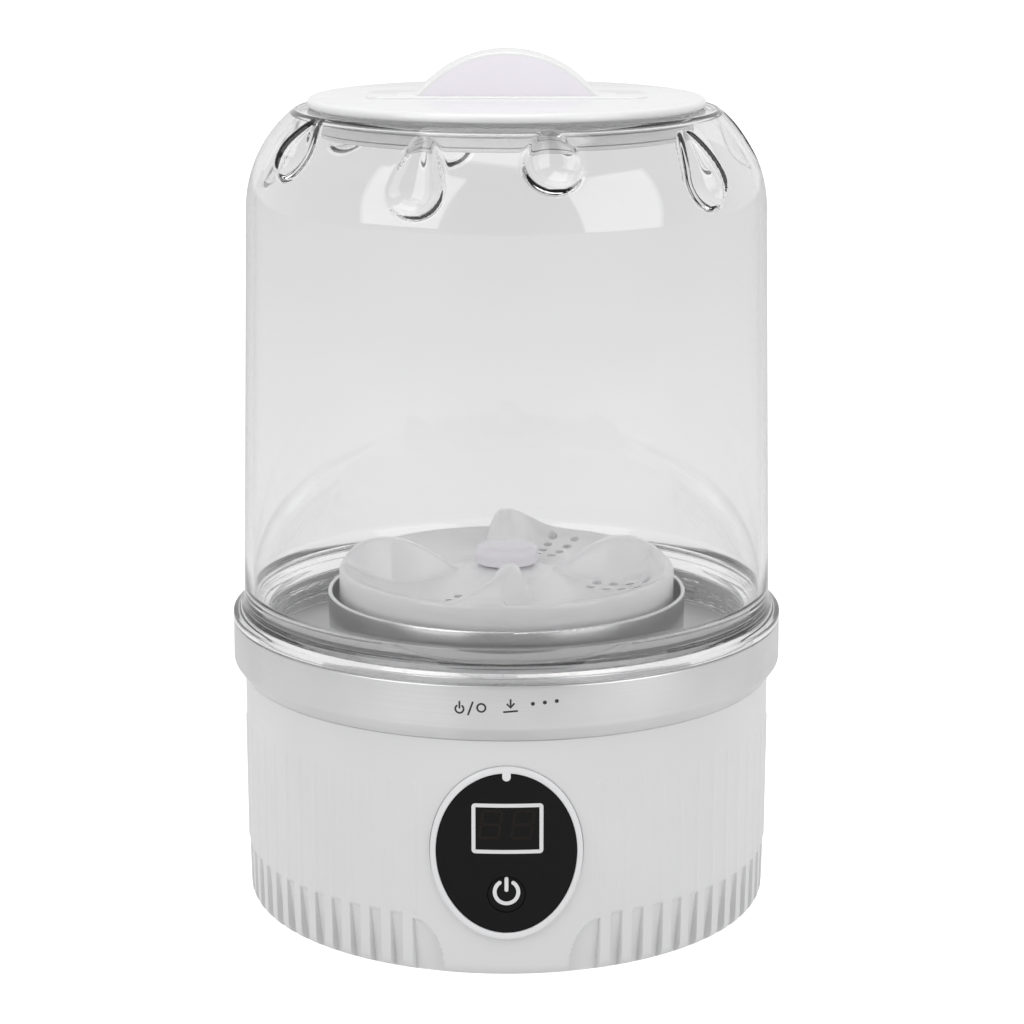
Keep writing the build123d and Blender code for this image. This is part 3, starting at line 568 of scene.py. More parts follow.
def pressed(r, z, turn, grow):
    """How far each point of the shoulder is pressed in by the dents, in millimetres."""
    points = np.stack([r * np.sin(turn), -r * np.cos(turn), z], axis=-1)
    out = np.arctan2(z - SHOULDER_Z, r - (SHOULDER_R - ARC_R))
    out = np.where(z < SHOULDER_Z, 0.0, out)
    inward = -np.stack([np.cos(out) * np.sin(turn), -np.cos(out) * np.cos(turn), np.sin(out)], axis=-1)
    depth = np.zeros_like(r)
    low, high = (0.0, 0.0), (HIGH_LIFT, TIP_LIFT)
    for angle, lifts in [(a, low) for a in LOW_DENTS] + [(a, high) for a in HIGH_DENTS]:
        ends = []
        for (place, sink, ball), lift in zip(DENT_BALLS, lifts):
            reach, height = shoulder_point(place + lift, sink - ball)
            way = math.radians(angle)
            ends.append(np.array([reach * math.sin(way), -reach * math.cos(way), height]))
        travel = np.zeros_like(r)
        for _ in range(14):
            here = points + inward * travel[..., None]
            gap = round_cone(here, *ends, DENT_FOOT_R + grow, DENT_TIP_R + grow)
            travel = np.maximum(travel - gap, 0)
        depth = np.maximum(depth, travel * (1 - smoothstep(out, DENT_FADE, SEAT_ANGLE)))
    # The mould rounds a dent's rim a little.
    depth = (np.roll(depth, 1, axis=1) + 2 * depth + np.roll(depth, -1, axis=1)) / 4
    return depth, inward


def thread_height(z, turn, low, high):
    """The height of a four-start ridge at each point, between two heights of the wall."""
    phase = (z / LEAD * STARTS - turn * STARTS / (2 * np.pi)) % 1.0
    ridge = smoothstep(0.5 - np.abs(phase - 0.5), 0.24, 0.36)
    fade = smoothstep(z, low, low + 0.6) * (1 - smoothstep(z, high - 0.6, high))
    return ridge * fade


def make_tub():
    """The clear tub, with its thread, flange, flare, dented shoulder and seat for the lid."""
    outer = even((NECK_R, TUB_LOW + 0.4), (NECK_R, FLANGE_LOW - 0.6), 0.22)[1:]
    outer += rounded([
        (NECK_R, FLANGE_LOW - 3, 0), (NECK_R, FLANGE_LOW, 0.5), (RING_R - 0.05, FLANGE_LOW, 0.3),
        (RING_R - 0.1, FLANGE_TOP, 0.6), (RING_R - 3, FLANGE_TOP + 1.2, 0),
    ])[1:-1]  # fmt: skip
    # The flare sweeps up from the flange into the wall.
    start, end = np.array([RING_R - 0.95, FLANGE_TOP + 0.25]), np.array([FOOT_R, FLARE_TOP])
    bend_low, bend_high = start + [-1.9, 0.6], end - [0.0, 3.2]
    for t in np.linspace(0.05, 1, 12):
        s = 1 - t
        outer.append(s**3 * start + 3 * s * s * t * bend_low + 3 * s * t * t * bend_high + t**3 * end)
    outer += even((FOOT_R, FLARE_TOP), (SHOULDER_R, SHOULDER_Z), 9.0)[1:]
    last = math.degrees(SEAT_ANGLE)
    outer += [shoulder_point(a) for a in np.linspace(0, last - 2, 56)]
    outer += rounded([
        (*shoulder_point(last - 4), 0), (*shoulder_point(last), 0.8), (SEAT_R - 0.9, SEAT_Z, 0.5),
        (MOUTH_R, SEAT_Z, 0.5), (MOUTH_R, SEAT_Z - WALL, 0.5), (MOUTH_R + 3, SEAT_Z - WALL, 0),
    ], 4)[1:-1]  # fmt: skip
    inner_from = len(outer)
    reach = ARC_R - WALL
    inner_last = math.degrees(math.acos((SEAT_R - 1.3 - (SHOULDER_R - ARC_R)) / reach))
    inner = [np.array([SEAT_R - 1.8, SEAT_Z - WALL])]
    inner += [shoulder_point(a, WALL) for a in np.linspace(inner_last - 2, 0, 56)]
    inner += even((SHOULDER_R - WALL, SHOULDER_Z), (FOOT_R - WALL, FLARE_TOP), 9.0)[1:]
    bore = NECK_R - WALL
    inner += rounded([
        (FOOT_R - WALL, FLARE_TOP + 4, 0), (FOOT_R - WALL, FLARE_TOP, 4.0),
        (bore, FLANGE_TOP, 3.0), (bore, TUB_LOW + 4, 0),
    ])[1:-1]  # fmt: skip
    inner += even((bore, FLANGE_TOP - 2.5), (bore, TUB_LOW + 0.4), 2.0)
    inner += rounded([
        (bore, TUB_LOW + 3, 0), (bore, TUB_LOW, 0.4), (NECK_R, TUB_LOW, 0.4), (NECK_R, TUB_LOW + 3, 0),
    ])[1:-1]  # fmt: skip

    def shape(r, z, turn, row):
        """The thread on the neck and the dents in the shoulder, on both faces of the wall."""
        shoulder = (z > SHOULDER_Z - 12) & (r > MOUTH_R + 2)
        grow = np.where(row >= inner_from, WALL, 0.0)
        depth, inward = pressed(r, z, turn, grow)
        # The wall is a little uneven over a dent, which makes it bend the light.
        depth = np.where(shoulder, depth, 0.0) * np.where(row >= inner_from, INNER_DENT, 1.0)
        neck = (row < inner_from) & (np.abs(r - NECK_R) < 0.05) & (z < FLANGE_LOW - 0.2)
        ridge = np.where(neck, THREAD_DEPTH * thread_height(z, -turn, THREAD_LOW, THREAD_HIGH), 0.0)
        return r - depth * np.hypot(inward[..., 0], inward[..., 1]) + ridge, z + depth * inward[..., 2]

    tub = lathe("clear_tub", outer + inner, whole_turn(720), shape, 40.0)
    plastic = clear_plastic("clear_tub_plastic", (0.98, 0.98, 0.981), (0.972, 0.972, 0.974))
    finish_piece(tub, plastic, "clear_tub", "tub", "tub")


# ---------------------------- base

PANEL_Z = 34.4
LENS_HALF = (18.1, 21.45)
BEZEL_HALF = (19.7, 23.3)
BUTTON_Z = 23.4
BUTTON_R = 4.9
LENS_FACE = 72.5
BEZEL_FACE = 72.9
TAB_R = 1.1
INLET_Z = 24.0
SLOT_HALF = 3.0  # half the straight part of the inlet's slot
SLOT_R = 1.9  # and the radius of its ends
WINDOW_X = 0.25  # the middle of the printed frame round the digits
WINDOW_Z = 41.12
WINDOW_HALF = (8.68, 6.2)
WINDOW_CORNER = 0.45
BUTTON_FLANGE_R = 5.8
BUTTON_STEM_R = 1.6
BUTTON_LEAN = 0.35  # how far the button's top leans in
SHELL_BORE = 66.6
SHELL_THICK = 2.5
FOOT_LOW = 0.2
FLUTE_PITCH = 5.0  # degrees
FLUTE_START = 18.5
FLUTES_A_SIDE = 32
FLUTE_TOP = 51.6
RIB_HEIGHT = 0.28
RIB_HALF = 1.3
SCOOP_TOP = 16.2
SCOOP_HALF = 1.6
SCOOP_DEPTHS = (0.85, 2.9)  # at its top and at the foot
WIDE_SCOOP = (24.4, 1.2)  # the middle of the first scoop's rounded end, as x and height
WIDE_HALF = (8.0, 13.6)


def flute_angles():
    """Every flute's angle round from the front, in degrees."""
    side = [FLUTE_START + FLUTE_PITCH * i for i in range(FLUTES_A_SIDE)]
    return [-a for a in side] + side


def shell_columns():
    """The angles of the shell's columns of points, close together along the edges of the scoops."""
    beside = [0.5, 1.0, 1.3, 1.45, 1.55, 1.65, 1.75, 1.9, 2.3, 2.7, 3.14]
    columns = set()
    for angle in flute_angles():
        for offset in [0.0] + beside + [-b for b in beside]:
            columns.add(round(angle + math.degrees(offset / SHELL_R), 3))
    columns |= {round(a, 3) for a in np.arange(-16.8, 16.9, 0.3)}
    columns |= {round(a, 3) for a in np.arange(176.5, 183.6, 1.0)}
    turned = sorted({round(a % 360, 2) for a in columns})
    spaced = [a for a, b in zip(turned, turned[1:] + [360 + turned[0]]) if b - a > 0.02]
    return np.radians(spaced)


def shell_shape(r, z, turn, row):
    """The ribs up the wall and the scoops along its foot, on the outer face alone."""
    outside = r > SHELL_R - SHELL_THICK - 0.1
    degrees = (np.degrees(turn) + 180) % 360 - 180
    side = np.abs(degrees)
    nearest = np.clip(np.round((side - FLUTE_START) / FLUTE_PITCH), 0, FLUTES_A_SIDE - 1)
    place = np.radians(side - FLUTE_START - nearest * FLUTE_PITCH) * SHELL_R
    # A rib stands along each scoop's outer edge, and fades out at its top.
    past = np.maximum(z - FLUTE_TOP, 0)
    across = np.hypot(place - (SCOOP_HALF - 0.5), past)
    above_scoop = smoothstep(z, SCOOP_TOP - 0.4, SCOOP_TOP + 0.8)
    rib = RIB_HEIGHT * (1 - smoothstep(across, 0.0, RIB_HALF)) * above_scoop
    top_r, low_r = (SHELL_R - depth for depth in SCOOP_DEPTHS)
    floor_r = low_r + (top_r - low_r) * z / SCOOP_TOP
    narrow = 1 - smoothstep(np.abs(place), SCOOP_HALF - 0.15, SCOOP_HALF + 0.18)
    x = np.abs(SHELL_R * np.sin(turn)) + np.where(side > 90, 100, 0)
    ring = np.hypot((x - WIDE_SCOOP[0]) / WIDE_HALF[0], (z - WIDE_SCOOP[1]) / WIDE_HALF[1])
    in_oval = 1 - smoothstep((ring - 1) * 9, -0.2, 0.2)
    wide = in_oval * np.where(x < WIDE_SCOOP[0], 1.0, narrow)
    first = (nearest == 0) & (side < FLUTE_START + FLUTE_PITCH / 2)
    scooped = np.where(first, wide, narrow) * (1 - smoothstep(z, SCOOP_TOP - 0.35, SCOOP_TOP))
    depth = np.maximum(r - floor_r, 0) * scooped
    return r + np.where(outside, rib - depth, 0.0), z


def make_shell():
    """The white shell: a moulded drum with ribs, scoops, the panel's oval hole and the inlet's slot."""
    inner = SHELL_R - SHELL_THICK
    outline = rounded([
        (SHELL_BORE, FOOT_LOW, 0.3), (71.4, FOOT_LOW, 3.4), (71.75, 12, 0), (68, 12, 0), (SHELL_BORE, 12, 0),
    ], 8)[:-3]  # fmt: skip
    # The wall leans out slightly, with closer rows at the scoops and at the ribs' tops.
    outline += even(outline[-1], (71.78, 17.6), 0.5)[1:]
    outline += even((71.78, 17.6), (71.93, 50.0), 4.6)
    outline += even((71.93, 50.0), (71.96, 54.0), 0.4)
    outline += even((71.96, 54.0), (SHELL_R, SHELL_TOP - 0.3), 3.0)
    outline += rounded([
        (SHELL_R, SHELL_TOP - 3, 0), (SHELL_R, SHELL_TOP, 0.3), (inner, SHELL_TOP, 0.2), (inner, 18, 0.5),
        (SHELL_BORE, 15, 0.5), (SHELL_BORE, 8, 0),
    ], 3)[1:-1]  # fmt: skip
    shell = lathe("shell", outline, shell_columns(), shell_shape, 40.0)
    hole = grown(oval(*BEZEL_HALF, PANEL_Z), 0.12)
    shell = cut(shell, slab("panel_hole", hole, -80, -60, place=upright), 40.0)
    slot = []
    for side in (1, -1):
        for a in np.linspace(-math.pi / 2, math.pi / 2, 12):
            slot.append((side * (SLOT_HALF + SLOT_R * math.cos(a)), INLET_Z + side * SLOT_R * math.sin(a)))
    shell = cut(shell, slab("inlet_hole", slot, 60, 80, place=upright), 40.0)
    plastic = moulded("white_shell", (0.69, 0.69, 0.693), (0.67, 0.67, 0.675), 0.34, 0.10)
    finish_piece(shell, plastic, "white_shell", "base", "base_shell")
    paint(["bottom_cover"], plastic)


def make_trim_ring():
    """The silver ring: a bevelled foot, a tall face and a thin seam under the tub's flange."""
    bore, low_bore, ledge = 72.75, 69.6, 66.7
    outline = rounded([
        (low_bore, RING_LOW, 0.2), (72.3, RING_LOW, 0.5), (RING_R - 0.02, RING_LOW + 3.9, 2.0),
        (RING_R - 0.12, RING_TOP, 0.5), (bore, RING_TOP, 0.3), (bore, ledge, 0.2), (low_bore, ledge, 0.2),
    ], 6)  # fmt: skip
    ring = lathe("trim_ring_face", outline, whole_turn(360))
    silver = brushed("silver_trim", (0.73, 0.73, 0.732), (0.62, 0.62, 0.622), 0.33, 1.0, depth=0.08)
    finish_piece(ring, silver, "silver_trim", "base", "trim_ring")


# ---------------------------- panel


def make_bezel():
    """The pale oval frame round the panel, rounded on both edges, with its small tab."""
    section = [
        (0, 70.4), (0, 72.55), (0.1, 72.8), (0.28, BEZEL_FACE), (0.72, BEZEL_FACE), (0.9, 72.8), (1, 72.5),
        (1, 70.4),
    ]  # fmt: skip
    turns = whole_turn(160)
    inner = [h + 0.06 for h in LENS_HALF]
    points, faces = [], []
    for t in turns:
        for share, r in section:
            half = [a + (b - a) * share for a, b in zip(inner, BEZEL_HALF)]
            points.append(on_front(half[0] * math.cos(t), PANEL_Z + half[1] * math.sin(t), r))
    count = len(section)
    for i in range(len(turns)):
        j = (i + 1) % len(turns)
        for k in range(count):
            m = (k + 1) % count
            faces.append([i * count + k, i * count + m, j * count + m, j * count + k])
    frame_piece = mesh_object("bezel", points, faces, 50.0)
    top = PANEL_Z + LENS_HALF[1]
    lower_half = np.linspace(math.pi, 2 * math.pi, 15)
    tab = [(TAB_R * math.cos(a), top - 0.9 + TAB_R * math.sin(a)) for a in lower_half]
    tab += [(TAB_R, top + 0.7), (-TAB_R, top + 0.7)]
    tab_piece = slab("bezel_tab", tab, LENS_FACE - 0.3, BEZEL_FACE - 0.08, 0.2, on_front)
    bezel = join("bezel", [frame_piece, tab_piece])
    pale = moulded("pale_bezel", (0.74, 0.74, 0.75), (0.71, 0.71, 0.72), 0.2, coat=0.3)
    finish_piece(bezel, pale, "pale_bezel", "base", "panel_bezel")


def make_lens(black):
    """The black oval window, with the hole that the button moves in."""
    points, faces = [], []
    turns = whole_turn(144)
    shares = list(np.linspace(0.06, 0.985, 22)) + [0.994, 1.0]
    faces_r = [LENS_FACE] * 22 + [LENS_FACE - 0.04, LENS_FACE - 0.16]
    loops = list(zip(shares, faces_r)) + [(1.0, 70.5), (0.06, 70.5)]
    for share, r in loops:
        for t in turns:
            x, z = (half * share for half in LENS_HALF)
            points.append(on_front(x * math.cos(t), PANEL_Z + z * math.sin(t), r))
    count = len(turns)
    for i in range(len(loops) - 1):
        j = i + 1
        for k in range(count):
            m = (k + 1) % count
            faces.append([i * count + k, i * count + m, j * count + m, j * count + k])
    faces.append(list(range(count)))
    faces.append([(len(loops) - 1) * count + k for k in range(count)])
    lens = mesh_object("lens", points, faces, 50.0)
    hole = oval(BUTTON_R + 0.04, BUTTON_R + 0.04, BUTTON_Z, 72)
    lens = cut(lens, slab("button_hole", hole, -80, -60, place=upright), 50.0)
    finish_piece(lens, black, "black_panel", "base", "panel_lens")


def make_button(black):
    """The round button, with a rounded rim, the flange that keeps it in and its stem."""
    face = LENS_FACE - 0.05
    flange_front, flange_back, stem_end = 70.28, 69.2, 68.8
    outline = rounded([
        (0, -face, 0), (BUTTON_R, -face, 0.35), (BUTTON_R, -flange_front, 0.05),
        (BUTTON_FLANGE_R, -flange_front, 0.1), (BUTTON_FLANGE_R, -flange_back, 0.1),
        (BUTTON_STEM_R, -flange_back, 0.1), (BUTTON_STEM_R, -stem_end, 0.1), (0, -stem_end, 0),
    ], 4)  # fmt: skip
    button = lathe("button", outline, whole_turn(72))
    for vertex in button.data.vertices:
        x, up, y = (c / MM for c in vertex.co)
        bend = face - math.sqrt(face * face - x * x)
        vertex.co = Vector((x, y + bend, BUTTON_Z - up)) * MM
    leant(tidy(button))
    finish_piece(button, black, "black_panel", "button", "power_button")


def leant(piece):
    """Leans the upper half of a piece of the button in, most at its top."""
    for vertex in piece.data.vertices:
        vertex.co.y += max(BUTTON_LEAN * (vertex.co.z - BUTTON_Z * MM) / BUTTON_R, 0.0)
    return piece


def make_symbols():
    """The printed window frame, the unlit digits behind the window, and the button's power symbol."""
    paint_white = moulded("panel_print", (0.72, 0.72, 0.73), (0.68, 0.68, 0.69), 0.35)
    low, high = LENS_FACE - 0.02, LENS_FACE + 0.05
    flat_x, flat_z = WINDOW_HALF[0] - WINDOW_CORNER, WINDOW_HALF[1] - WINDOW_CORNER
    corners = []
    for sx, sz, start in ((1, 1, 0), (1, -1, 90), (-1, -1, 180), (-1, 1, 270)):
        corners.append(arc_path(WINDOW_X + sx * flat_x, sz * flat_z, WINDOW_CORNER, start, start + 90, 6))
    path = []
    for corner, after in zip(corners, corners[1:] + corners[:1]):
        path += corner + line_path(corner[-1], after[0], 8)[1:-1]
    window = stroke("window_frame", path, 1.0, low, high, True, WINDOW_Z)
    finish_piece(window, paint_white, "pale_bezel", "base")

    unlit = moulded("unlit_segments", (0.014, 0.0105, 0.009), (0.011, 0.0085, 0.0075), 0.3)
    unlit.node_tree.nodes["Principled BSDF"].inputs["Specular IOR Level"].default_value = 0.12
    segments = []
    for left in (-7.0, 1.25):
        segments += digit(left, low - 0.01, LENS_FACE + 0.012)
    finish_piece(join("unlit_digits", segments), unlit, "black_panel", "base")

    icon_low, icon_high = LENS_FACE - 0.07, LENS_FACE
    ring = stroke("power_ring", arc_path(0, 24.0, 3.03, 35, 325, 44), 1.0, icon_low, icon_high)
    stem = stroke("power_stem", line_path((0, 24.6), (0, 27.55)), 1.0, icon_low, icon_high)
    finish_piece(leant(join("power_symbol", [ring, stem])), paint_white, "pale_bezel", "button")


def digit(left, low, high):
    """The seven unlit segments of one digit, leaning a little to the right."""
    width, tall, bottom, lean = 4.9, 7.2, 38.6, 0.14
    half = tall / 2
    gap = 0.45
    spans = [
        ((gap, 0), (width - gap, 0)), ((gap, half), (width - gap, half)), ((gap, tall), (width - gap, tall)),
        ((0, gap), (0, half - gap)), ((width, gap), (width, half - gap)),
        ((0, half + gap), (0, tall - gap)), ((width, half + gap), (width, tall - gap)),
    ]  # fmt: skip
    pieces = []
    for number, (start, end) in enumerate(spans):
        ends = [(left + x + lean * z, bottom + z) for x, z in (start, end)]
        pieces.append(stroke(f"segment_{number}", line_path(*ends), 0.75, low, high))
    return pieces


def make_label():
    """Generic marks printed on the trim ring: on and off, press down, and three beats."""
    rise = 0.085  # the row of marks climbs to the right by this slope
    middle = 74.5
    low, high = RING_R - 0.2, RING_R - 0.03
    ink = moulded("label_ink", (0.028, 0.028, 0.03), (0.02, 0.02, 0.022), 0.4)

    def at(x, z):
        """A mark's (x, height), from its place in the row."""
        return 1.04 * x, middle + 1.3 * z + rise * x

    marks = [
        arc_path(*at(-11.4, 0), 1.05, 40, 320, 24), [at(-11.4, 0.25), at(-11.4, 1.45)],
        [at(-9.3, -1.2), at(-8.2, 1.2)],
        arc_path(*at(-6.1, 0), 1.05, 0, 360, 24),
        [at(-0.6, -1.15), at(2.6, -1.15)], [at(1.0, 1.2), at(1.0, -0.35)],
        [at(0.2, 0.35), at(1.0, -0.4), at(1.8, 0.35)],
    ]  # fmt: skip
    pieces = [stroke(f"mark_{i}", path, 0.48, low, high) for i, path in enumerate(marks)]
    for i in range(3):
        dot = [at(6.4 + 2.9 * i, 0) + np.array(p) for p in arc_path(0, 0, 0.52, 0, 350, 14)]
        pieces.append(slab(f"dot_{i}", dot, low, high, place=on_front))
    finish_piece(join("label_marks", pieces), ink, "black_panel", "base")


# ---------------------------- impeller

VANE_ANGLES = [-3, 87, 177, 267]  # degrees round from the right, where each crest meets the rim
HOLE_RADII = [26.1, 30.8, 35.5, 40.2]
HOLE_ANGLES = [-16.6, -26.3]  # two rows of holes behind each vane
HOLE_R = 1.3
SCREW_HOLE_R = 3.02
CREST = [
    (12.5, 91.2), (14.4, 92.1), (18.0, 94.6), (21.0, 96.6), (24.5, 98.6), (28.0, 100.0), (31.5, 100.5),
    (34.5, 100.4), (37.8, 99.6), (40.4, 98.4), (42.4, 96.9), (44.2, 95.0), (45.3, 93.4), (45.95, 91.9),
]  # fmt: skip
# How far from the axis each row of points on the disc's top lies.
DISC_PLACES = np.concatenate([
    np.linspace(SCREW_HOLE_R, 12, 8), np.linspace(12, 44, 72)[1:], np.linspace(44, IMPELLER_R, 18)[1:],
])  # fmt: skip


def crest_height(reach):
    """The height of a vane's crest at a distance from the axis."""
    places, heights = zip(*CREST)
    return np.interp(reach, places, heights)


def disc_shape(r, z, turn, row):
    """The four vanes, which rise out of the dished disc: steep on one side and long on the other."""
    top = row < len(DISC_PLACES)
    lift = np.zeros_like(r)
    around = np.degrees(turn) - 90.0
    for angle in VANE_ANGLES:
        # A vane's crest bends back towards the rim.
        crest = angle + 6.0 * (1 - smoothstep(r, 29.0, 46.0))
        ahead = np.radians((around - crest + 180.0) % 360.0 - 180.0)
        across = r * np.sin(np.clip(ahead, -1.5, 1.5))
        long_side = 11.5 + 6.0 * smoothstep(r, 38.0, 43.0)
        steep_side = 6.8 - 4.6 * np.clip((r - 32.0) / 11.0, 0, 1)
        # Near the cap both sides are narrower.
        reach = np.where(across > 0, steep_side, long_side) * (0.35 + 0.65 * smoothstep(r, 12.0, 32.0))
        flank = 1 - smoothstep(np.abs(across), 0.1 * reach, reach)
        rise = np.maximum(crest_height(r) - z, 0) * (r > 12.0)
        lift = np.maximum(lift, rise * flank)
    return r, z + np.where(top, lift, 0.0)


def make_impeller():
    """The white impeller: a dished disc with four hollow-flanked vanes and real drain holes."""
    rim, low = IMPELLER_R, IMPELLER_LOW
    dish = [
        (SCREW_HOLE_R, 93.3), (8.2, 93.3), (9.4, 92.0), (12.0, 91.5), (16.0, 90.8), (20.0, 90.1),
        (25.0, 89.6), (29.0, 89.45), (33.0, 89.7), (37.0, 90.4), (40.5, 91.3), (43.0, 92.3), (44.2, 92.8),
        (44.9, 92.95), (45.5, 92.8), (45.85, 92.4), (rim, 91.9),
    ]  # fmt: skip
    radii, heights = zip(*dish)
    level = np.interp(DISC_PLACES, radii, heights)
    for _ in range(6):
        level[1:-1] = (level[:-2] + 2 * level[1:-1] + level[2:]) / 4
    top = [np.array(p) for p in zip(DISC_PLACES, level)]
    under = rounded([
        (rim, 89.6, 0), (rim, low, 0.4), (rim - 2.2, low, 0.4), (rim - 2.2, 89.4, 1.0), (32, 87.9, 0),
        (24, 87.9, 0), (8, 88.6, 0.5), (8, 84.0, 0.3), (SCREW_HOLE_R, 84.0, 0.1),
    ])  # fmt: skip
    disc = lathe("impeller", top + under, whole_turn(720), disc_shape, 50.0)
    holes = []
    for vane in VANE_ANGLES:
        for radius in HOLE_RADII:
            for offset in HOLE_ANGLES:
                way = math.radians(vane + offset)
                ring = oval(HOLE_R, HOLE_R, 0, 20) + [radius * math.cos(way), radius * math.sin(way)]
                holes.append(slab("hole", ring, 84, 97))
    disc = cut(disc, join("holes", holes), 50.0)
    white = moulded("white_impeller", (0.96, 0.957, 0.965), (0.94, 0.937, 0.946), 0.22, 0.05, coat=0.2)
    finish_piece(disc, white, "white_impeller", "impeller", "impeller_disc")
    foot = CAP_TOP - 4.8
    cap_outline = rounded([(0, foot, 0), (0, CAP_TOP, 0), (CAP_R, CAP_TOP, 2.4), (CAP_R, foot, 0.6)], 8)
    cap = lathe("cap", cap_outline, whole_turn(96), smooth_angle=50.0)
    lilac = moulded("lilac_cap", (0.90, 0.875, 0.93), (0.88, 0.85, 0.915), 0.2, coat=0.3)
    finish_piece(cap, lilac, "lilac_cap", "impeller", "impeller_cap")


# ---------------------------- lid

BAR_TOP = 221.25
DISC_TOP = 220.7
DISC_LOW = LID_PLUG_LOW + 9.1
BAR_HALF = (37.0, 11.0)
BAR_CORNER = 5.0
GRIP_HALF = 23.8
GRIP_THICK = 15.0
GRIP_RIM = 1.2  # the white rim round the tinted half-moon
PLUG_R = 49.3


def grip_outline(low, flare):
    """The half-moon side view of the grip as (x, z) points, with a flared foot."""
    rise = LID_TOP - BAR_TOP
    radius = (GRIP_HALF**2 + rise**2) / (2 * rise)
    middle = LID_TOP - radius
    outline = []
    for x in np.linspace(-GRIP_HALF - flare, GRIP_HALF + flare, 81):
        arc = middle + math.sqrt(max(radius**2 - x**2, 0.0))
        # The arc runs out into the bar along a hollow curve.
        soft = 1.4 * flare / 6
        height = BAR_TOP + (math.hypot(arc - BAR_TOP, soft) + arc - BAR_TOP) / 2
        outline.append((x, min(height, arc if abs(x) < GRIP_HALF * 0.6 else height)))
    return outline + [(GRIP_HALF + flare, low), (-GRIP_HALF - flare, low)]


def inset_outline():
    """The tinted half-moon's outline, inside the grip's white rim."""
    half, top, low = GRIP_HALF - GRIP_RIM, LID_TOP - 1.0, BAR_TOP - 0.3
    rise = top - low
    radius = (half**2 + rise**2) / (2 * rise)
    turn = math.asin(half / radius)
    return [(radius * math.sin(a), top - radius + radius * math.cos(a)) for a in np.linspace(-turn, turn, 61)]


def make_lid():
    """The white lid: its disc, the low bar, the half-moon grip with tinted faces, and the plug below."""
    white = moulded("white_lid", (0.77, 0.77, 0.773), (0.755, 0.755, 0.758), 0.18, 0.02, coat=0.3)
    disc_outline = rounded([
        (0, DISC_LOW, 0), (0, DISC_TOP, 0), (LID_R - 0.1, DISC_TOP, 1.6), (LID_R - 0.1, DISC_LOW, 0.7),
    ], 7)  # fmt: skip
    disc = lathe("lid_disc", disc_outline, whole_turn(256))
    bar_outline = []
    flat_x, flat_y = BAR_HALF[0] - BAR_CORNER, BAR_HALF[1] - BAR_CORNER
    for sx, sy, start in ((1, 1, 0), (-1, 1, 90), (-1, -1, 180), (1, -1, 270)):
        for k in range(7):
            a = math.radians(start + 15 * k)
            corner = (BAR_CORNER * math.cos(a), BAR_CORNER * math.sin(a))
            bar_outline.append((sx * flat_x + corner[0], sy * flat_y + corner[1]))
    bar = slab("lid_bar", bar_outline, DISC_TOP - 1.0, BAR_TOP, 0.5)
    half = GRIP_THICK / 2
    grip = slab("lid_grip", grip_outline(BAR_TOP - 1.2, 5.0), -half, half, 0.8, upright, 5)
    bore, groove = PLUG_R - 2.0, PLUG_R - 1.0
    plug_outline = rounded([
        (bore, 218.4, 0.1), (PLUG_R, 218.4, 0.1), (PLUG_R, 214.2, 0.1), (groove, 214.2, 0.1),
        (groove, 211.4, 0.1), (PLUG_R, 211.4, 0.1), (PLUG_R, 210.4, 0.4), (bore, 210.4, 0.4),
    ], 3)  # fmt: skip
    plug = lathe("lid_plug", plug_outline, whole_turn(200))
    lid = join("lid", [disc, bar, grip])
    finish_piece(lid, white, "white_lid", "lid", "lid_cap")
    pale = moulded("pale_plug", (0.95, 0.95, 0.95), (0.93, 0.93, 0.93), 0.4)
    finish_piece(plug, pale, "white_lid", "lid")
    front = slab("inset_front", inset_outline(), -half - 0.12, -half + 1.0, 0.1, upright, 2)
    back = slab("inset_back", inset_outline(), half - 1.0, half + 0.12, 0.1, upright, 2)
    lilac = moulded("lilac_inset", (0.81, 0.777, 0.835), (0.795, 0.762, 0.82), 0.22, coat=0.3)
    finish_piece(join("grip_faces", [front, back]), lilac, "lilac_inset", "lid", "grip_insets")


# ---------------------------- finishes for the CAD nodes


def paint(nodes, material):
    """Gives CAD nodes one material."""
    for name in nodes:
        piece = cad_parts[name]
        piece.data.materials.clear()
        piece.data.materials.append(material)


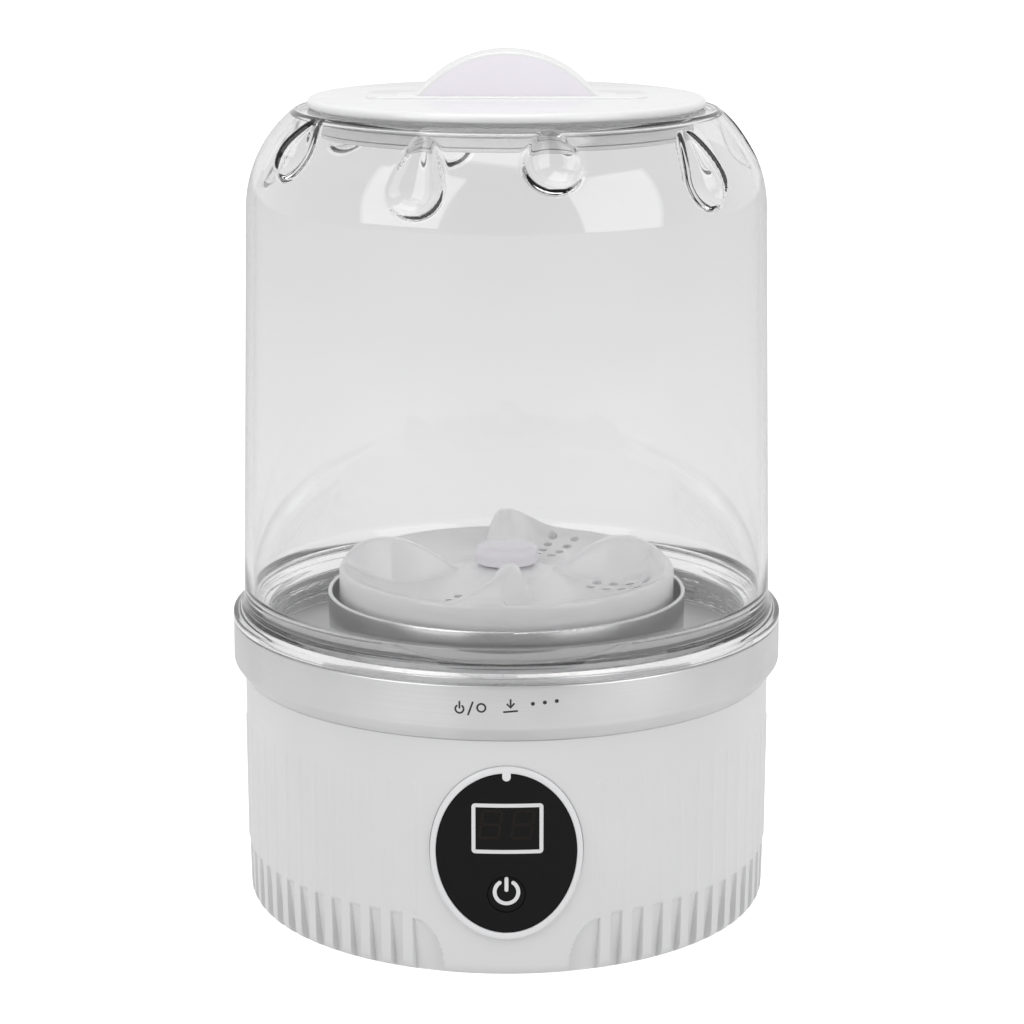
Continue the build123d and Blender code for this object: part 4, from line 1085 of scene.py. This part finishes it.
def paint_cad():
    """Each CAD node that stays gets the finish of what it is made of."""
    spun = (40.0, 40.0, 300.0)
    tray = brushed("silver_tray", (0.95, 0.95, 0.953), (0.91, 0.91, 0.913), 0.42, 0.1, spun, 0.02)
    paint(["drum_tray"], tray)
    rolled = (30.0, 30.0, 700.0)
    ring = brushed("steel_ring", (0.74, 0.74, 0.745), (0.66, 0.66, 0.665), 0.24, 1.0, rolled, 0.03)
    paint(["impeller_shroud"], ring)
    paint(["tub_seal", "lid_seal"], moulded("silicone", (0.92, 0.92, 0.92), (0.89, 0.89, 0.89), 0.45))
    foot_rubber = moulded("foot_rubber", (0.16, 0.16, 0.165), (0.12, 0.12, 0.125), 0.7, grain=1500.0)
    paint(["rubber_feet"], foot_rubber)
    paint(["shaft_seal"], moulded("seal_rubber", (0.03, 0.03, 0.03), (0.02, 0.02, 0.02), 0.55))
    paint(
        ["gearbox_case", "gearbox_cover", "motor_end_cap", "display_module", "tact_switch", "main_chip"],
        moulded("dark_plastic", (0.035, 0.035, 0.037), (0.025, 0.025, 0.027), 0.45),
    )
    paint(["output_gear", "idler_gear"], moulded("gear_plastic", (0.78, 0.76, 0.70), (0.73, 0.71, 0.65), 0.4))
    steel = brushed("plated_steel", (0.66, 0.66, 0.67), (0.55, 0.55, 0.56), 0.28)
    paint(["motor_can", "power_inlet", "cover_screws", "tray_screws", "gearbox_screws"], steel)
    paint(["motor_screws", "impeller_screw", "output_shaft", "gear_pin", "rotor_shaft"], steel)
    laminations = brushed("laminations", (0.30, 0.29, 0.29), (0.2, 0.2, 0.2), 0.4, lines=(5, 5, 2000))
    paint(["rotor_core"], laminations)
    paint(["commutator"], brushed("copper", (0.80, 0.42, 0.28), (0.62, 0.3, 0.2), 0.25))
    brass = brushed("brass", (0.78, 0.58, 0.28), (0.62, 0.45, 0.2), 0.3)
    paint(["motor_pinion", "motor_terminals", "output_bush", "upper_bush", "motor_bearings"], brass)
    paint(["motor_magnets"], moulded("ferrite", (0.06, 0.06, 0.065), (0.04, 0.04, 0.045), 0.6))
    solder_mask = moulded("solder_mask", (0.02, 0.16, 0.07), (0.015, 0.12, 0.05), 0.3)
    paint(["control_pcb", "inlet_board"], solder_mask)


make_camera()
make_stage()
make_tub()
make_shell()
make_trim_ring()
make_bezel()
black_gloss = moulded("black_panel", (0.0050, 0.0050, 0.0052), (0.0062, 0.0062, 0.0064), 0.14, grain=500.0)
black_gloss.node_tree.nodes["Principled BSDF"].inputs["Specular IOR Level"].default_value = 0.12
make_lens(black_gloss)
make_button(black_gloss)
make_symbols()
make_label()
make_impeller()
make_lid()
paint_cad()
